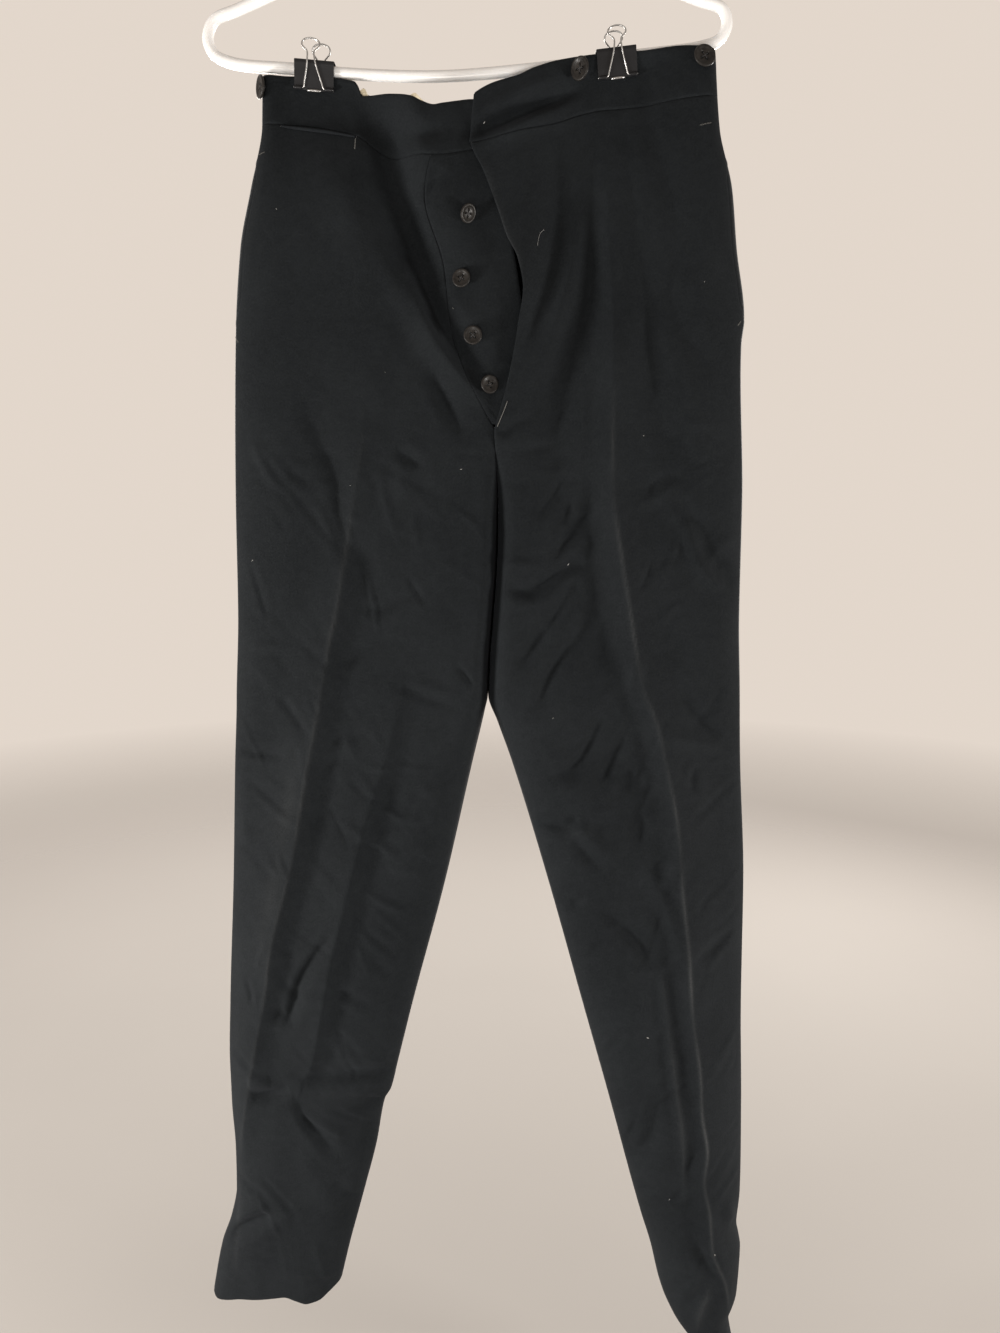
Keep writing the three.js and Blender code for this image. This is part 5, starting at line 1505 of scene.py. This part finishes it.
def paint_crease_wear_and_highlight(obj, lines, face):
    """Marks how pale each point is painted: 1 on a pressed crease, fading beside it. The paleness is
    partly wear and partly a painted highlight on the ridge.
    """
    count = len(obj.data.vertices)
    co = np.zeros(count * 3)
    obj.data.vertices.foreach_get("co", co)
    co = co.reshape(-1, 3) / MM
    x, down = co[:, 0], -co[:, 2]
    amount = np.zeros(count)
    for path, strength, reach in lines:
        path = smooth_path(path)
        near = (x > path[:, 0].min() - CREASE_MARK_MARGIN) & (x < path[:, 0].max() + CREASE_MARK_MARGIN)
        near &= (down > path[:, 1].min() - CREASE_MARK_MARGIN) & (down < path[:, 1].max() + CREASE_MARK_MARGIN)
        if not near.any():
            continue
        gap, _, along = beside(path, x[near], down[near])
        uneven = 0.62 + 0.38 * np.sin(down[near] * 0.06 + 1.3) * np.sin(down[near] * 0.021)
        fade = np.sin(math.pi * np.clip(along, 0.01, 0.99)) ** 0.5
        rubbed = strength * uneven * fade * np.exp(-((gap / reach) ** 1.4))
        amount[near] = np.maximum(amount[near], rubbed)
    amount *= co[:, 1] < 0 if face == "front" else co[:, 1] > 0
    layer = obj.data.attributes.new("rubbed", "FLOAT", "POINT")
    layer.data.foreach_set("value", amount.astype(np.float32))


# Lines painted pale, part wear and part painted highlight: path, strength, reach
CREASE_WEAR_AND_HIGHLIGHT_LINES = {
    "front_left": [
        (LEFT_CREASE, 0.3, 1.5), ([(-141, 740), (-152, 800), (-170, 880), (-182, 940)], 0.16, 8),
        ([(-211, 1143), (-216, 1200), (-220, 1260)], 0.15, 2.4),
    ],
    "front_right": [
        (RIGHT_CREASE[7:], 0.7, 1.2), (RIGHT_CREASE[2:9], 0.4, 1.3),
        ([(177, 950), (191, 1046), (199, 1101), (203, 1168)], 0.22, 2.2),
        ([(229, 1262), (221, 1288), (219, 1309)], 0.3, 2.4),
        ([(20, 267), (30.4, 304), (38.5, 327), (46.6, 343), (51, 366)], 0.2, 2.2),
    ],
    "back_left": [([(-95, 520), (-125, 900), (-190, 1290)], 0.22, 2.6)],
    "back_right": [([(140, 500), (172, 900), (243, 1345)], 0.22, 2.6)],
}
WOOL_PIECES = [name for name in pieces if name in grids and name != "waistband_lining"]
for name in WOOL_PIECES:
    paint_crease_wear_and_highlight(pieces[name], CREASE_WEAR_AND_HIGHLIGHT_LINES.get(name, []), "back" if "back" in name else "front")
    pieces[name].data.materials.append(wool)
print("wool on", len(WOOL_PIECES), "pieces")

# %% [markdown]
# ## Lining, thread, horn, plastic and steel
# The small parts give the dark cloth its scale, so each gets its own surface: plain-woven cotton,
# streaked horn with a polished top, gloss plastic with the faint ripple of a mould, black enamel that
# is worn in patches, and drawn steel wire.

# %% Cotton lining and thread
def lining_finish():
    f = Finish("cream_cotton", Metallic=0.0)
    cloth = f.cloth_place()
    across, down, _ = f.parts(cloth)
    yarn = 2 * math.pi / YARN_PITCH
    weave = (across * yarn).sine() * (down * yarn).sine() * 0.5 + 0.5
    soiled = f.noise(cloth, 90.0, 4.0, 0.6).between(0.35, 0.75)
    clean = f.blend(weave * 0.35 + 0.3, (0.62, 0.55, 0.40, 1), (0.78, 0.72, 0.56, 1))
    f.set("Base Color", f.blend(soiled * 0.5, clean, (0.44, 0.36, 0.24, 1)))
    f.set("Roughness", 0.78 + weave * 0.12)
    f.set("Normal", f.bump(weave, 0.00025, 0.6))
    return f.done()


def thread_finish(name, dark, light):
    f = Finish(name, Metallic=0.0)
    place = f.place()
    strand = f.noise(place, 1800.0, 2.0, 0.6).between(0.3, 0.7)
    f.set("Base Color", f.blend(strand, dark, light))
    f.set("Roughness", 0.62 + strand * 0.2)
    f.set("Normal", f.bump(strand, 0.0001, 0.7))
    return f.done()


cotton = lining_finish()
pieces["waistband_lining"].data.materials.append(cotton)
# The tacks and the fly's edge thread are black thread coloured pale: a painted highlight for their sheen
pale_thread = thread_finish("pale_thread", (0.05, 0.048, 0.044, 1), (0.12, 0.117, 0.107, 1))
dark_thread = thread_finish("dark_thread", (0.006, 0.006, 0.007, 1), (0.022, 0.021, 0.022, 1))
fibre = thread_finish("lint_fibre", (0.16, 0.16, 0.155, 1), (0.34, 0.335, 0.32, 1))
for obj in (tacks, thread_piece):
    obj.data.materials.append(pale_thread)
lint.data.materials.append(fibre)
for obj in threads:
    obj.data.materials.append(dark_thread)

# %% Horn buttons
def horn_finish():
    f = Finish("dark_horn", Metallic=0.0, Coat_Roughness=0.2, Specular_IOR_Level=0.14)
    place = f.place()
    streak = f.noise(place, 160.0, 4.0, 0.6, 1.8).between(0.3, 0.7)
    grain = f.noise(place, 900.0, 3.0, 0.6).between(0.3, 0.7)
    colour = f.blend(streak, (0.0036, 0.0033, 0.0031, 1), (0.0145, 0.0125, 0.0108, 1))
    f.set("Base Color", f.blend(grain * 0.35, colour, (0.014, 0.012, 0.0105, 1)))
    f.set("Roughness", 0.38 + grain * 0.16)
    f.set("Coat Weight", 0.02 + streak * 0.05)
    f.set("Normal", f.bump(grain + streak * 0.6, 0.00008, 0.5))
    return f.done()


horn = horn_finish()
for obj in buttons:
    obj.data.materials.clear()
    obj.data.materials.append(horn)

# %% Hanger plastic
def plastic_finish():
    f = Finish("white_gloss_plastic", Metallic=0.0, Specular_IOR_Level=0.5, Subsurface_Weight=0.12)
    f.set("Subsurface Radius", (0.006, 0.005, 0.004))
    place = f.place()
    ripple = f.noise(place, 28.0, 2.0, 0.5).between(0.3, 0.7)
    scuff = f.noise(place, 420.0, 4.0, 0.7).between(0.58, 0.8)
    f.set("Base Color", f.blend(ripple * 0.5 + scuff * 0.35, (0.58, 0.575, 0.57, 1), (0.5, 0.49, 0.48, 1)))
    f.set("Roughness", 0.26 + scuff * 0.25)
    f.set("Normal", f.bump(ripple + scuff * 0.15, 0.0004, 0.35))
    return f.done()


pieces["hanger"].data.materials.append(plastic_finish())

# %% Enamel and wire
def enamel_finish():
    f = Finish("black_enamel", Metallic=0.0, Specular_IOR_Level=0.16, Coat_Roughness=0.3)
    place = f.place()
    peel = f.noise(place, 700.0, 2.0, 0.5).between(0.3, 0.7)
    rubbed = f.noise(place, 240.0, 5.0, 0.7).between(0.62, 0.8)
    f.set("Base Color", f.blend(rubbed * 0.5, (0.006, 0.006, 0.0068, 1), (0.03, 0.03, 0.032, 1)))
    f.set("Roughness", 0.42 + rubbed * 0.25)
    f.set("Coat Weight", 0.07 - rubbed * 0.05)
    f.set("Normal", f.bump(peel, 0.00006, 0.4))
    return f.done()


def wire_finish():
    f = Finish("drawn_steel_wire", Metallic=1.0)
    place = f.place()
    draw = f.noise(place, 1500.0, 3.0, 0.6).between(0.3, 0.7)
    tarnish = f.noise(place, 130.0, 4.0, 0.6).between(0.45, 0.8)
    f.set("Base Color", f.blend(tarnish * 0.6, (0.34, 0.335, 0.33, 1), (0.17, 0.165, 0.155, 1)))
    f.set("Roughness", 0.27 + draw * 0.12 + tarnish * 0.14)
    f.set("Normal", f.bump(draw, 0.00003, 0.4))
    return f.done()


enamel, wire = enamel_finish(), wire_finish()
for clip in CLIPS:
    body = pieces[f"clip_{clip.name}_body"].data
    body.materials.append(enamel)
    body.materials.append(wire)
    for n in range(enamel_faces[clip.name], len(body.polygons)):
        body.polygons[n].material_index = 1
    for face in ("front", "back"):
        pieces[f"clip_{clip.name}_handle_{face}"].data.materials.append(wire)

# %% [markdown]
# ## What rides on what
# The trousers, the clips and the hanger are one body that hangs by its hook, so every piece rides on
# it. The size of each cloth piece's cut is measured on the mesh.

# %% Riding
for name, obj in pieces.items():
    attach(obj, "root")
for obj in buttons:
    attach(obj, "root")
for obj in (*threads, tacks, thread_piece, lint):
    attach(obj, "root")

# %% The cut of each cloth piece
for name in grids:
    if name == "watch_pocket_welt":
        continue
    side = "left" if "left" in name else "right"
    width, length, area = cut_of(grids[name]["outer"])
print(len(grids) - 1, "sheets declared with the size of their cut")

# %% [markdown]
# ## Room and light
# A plain pale floor and a pale sky keep attention on the cloth. Black wool needs large soft lights at
# a slant, or its folds vanish: a low one in front, one at each side, and two behind for the back.

# %% Floor
FLOOR_BELOW, FLOOR_HALF = 60, 9000
floor_z = cad_low.z / MM - FLOOR_BELOW
corners = [(x * FLOOR_HALF, y * FLOOR_HALF, floor_z) for x, y in ((-1, -1), (1, -1), (1, 1), (-1, 1))]
floor = mesh_object("floor", corners, [[0, 1, 2, 3]])
paint = Finish("pale_floor", Roughness=0.9)
place = paint.place()
speck = paint.noise(place, 3.0, 4.0, 0.5).between(0.3, 0.7)
paint.set("Base Color", paint.blend(speck * 0.3, (0.24, 0.226, 0.212, 1), (0.222, 0.209, 0.196, 1)))
across, along, _ = paint.parts(place)
far = (across * across + along * along) ** 0.5
paint.set("Alpha", 1 - far.between(0.9, 3.2))
floor.data.materials.append(paint.material)
floor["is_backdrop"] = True
print("the floor lies", FLOOR_BELOW, "mm below the lowest hem")

# %% Lights
# Area light: name, place, what it looks at, size, power
LIGHTS = [
    ("key", (-0.2, -1.4, -1.25), (-0.05, 0, -0.8), 0.5, 17),
    ("side_left", (-1.6, -0.6, -1.1), (-0.05, 0, -1.0), 0.4, 62),
    ("side_right", (1.75, -0.5, -1.05), (0.1, 0, -0.95), 0.4, 42),
    ("behind_left", (-0.8, 1.6, -0.1), (0, 0, -0.9), 0.6, 34),
    ("behind_right", (1.0, 1.5, -0.4), (0, 0, -0.9), 0.6, 34),
]
LAMP_COLOUR = (1.0, 0.965, 0.92)
for name, place, aim, size, power in LIGHTS:
    data = bpy.data.lights.new(name, "AREA")
    data.shape, data.size, data.energy = "SQUARE", size, power
    data.color = LAMP_COLOUR
    lamp = bpy.data.objects.new(name, data)
    lamp.location = place
    lamp.rotation_euler = (Vector(aim) - Vector(place)).to_track_quat("-Z", "Y").to_euler()
    bpy.context.scene.collection.objects.link(lamp)
print(len(LIGHTS), "soft lights")

# %% Pale surroundings
ROOM_COLOUR, ROOM_STRENGTH = (0.88, 0.78, 0.69, 1), 0.87
world = bpy.data.worlds.new("pale_room")
bpy.context.scene.world = world
bpy.context.scene.view_settings.view_transform = "Standard"
world.use_nodes = True
sky = world.node_tree.nodes["Background"]
sky.inputs["Color"].default_value = ROOM_COLOUR
sky.inputs["Strength"].default_value = ROOM_STRENGTH
print("the room is as bright as", ROOM_STRENGTH)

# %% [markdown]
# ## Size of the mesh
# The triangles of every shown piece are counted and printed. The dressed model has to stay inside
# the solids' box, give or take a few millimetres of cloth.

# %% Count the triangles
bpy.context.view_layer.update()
triangles = sum(len(p.vertices) - 2 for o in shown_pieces() for p in o.data.polygons)
print(triangles, "triangles")
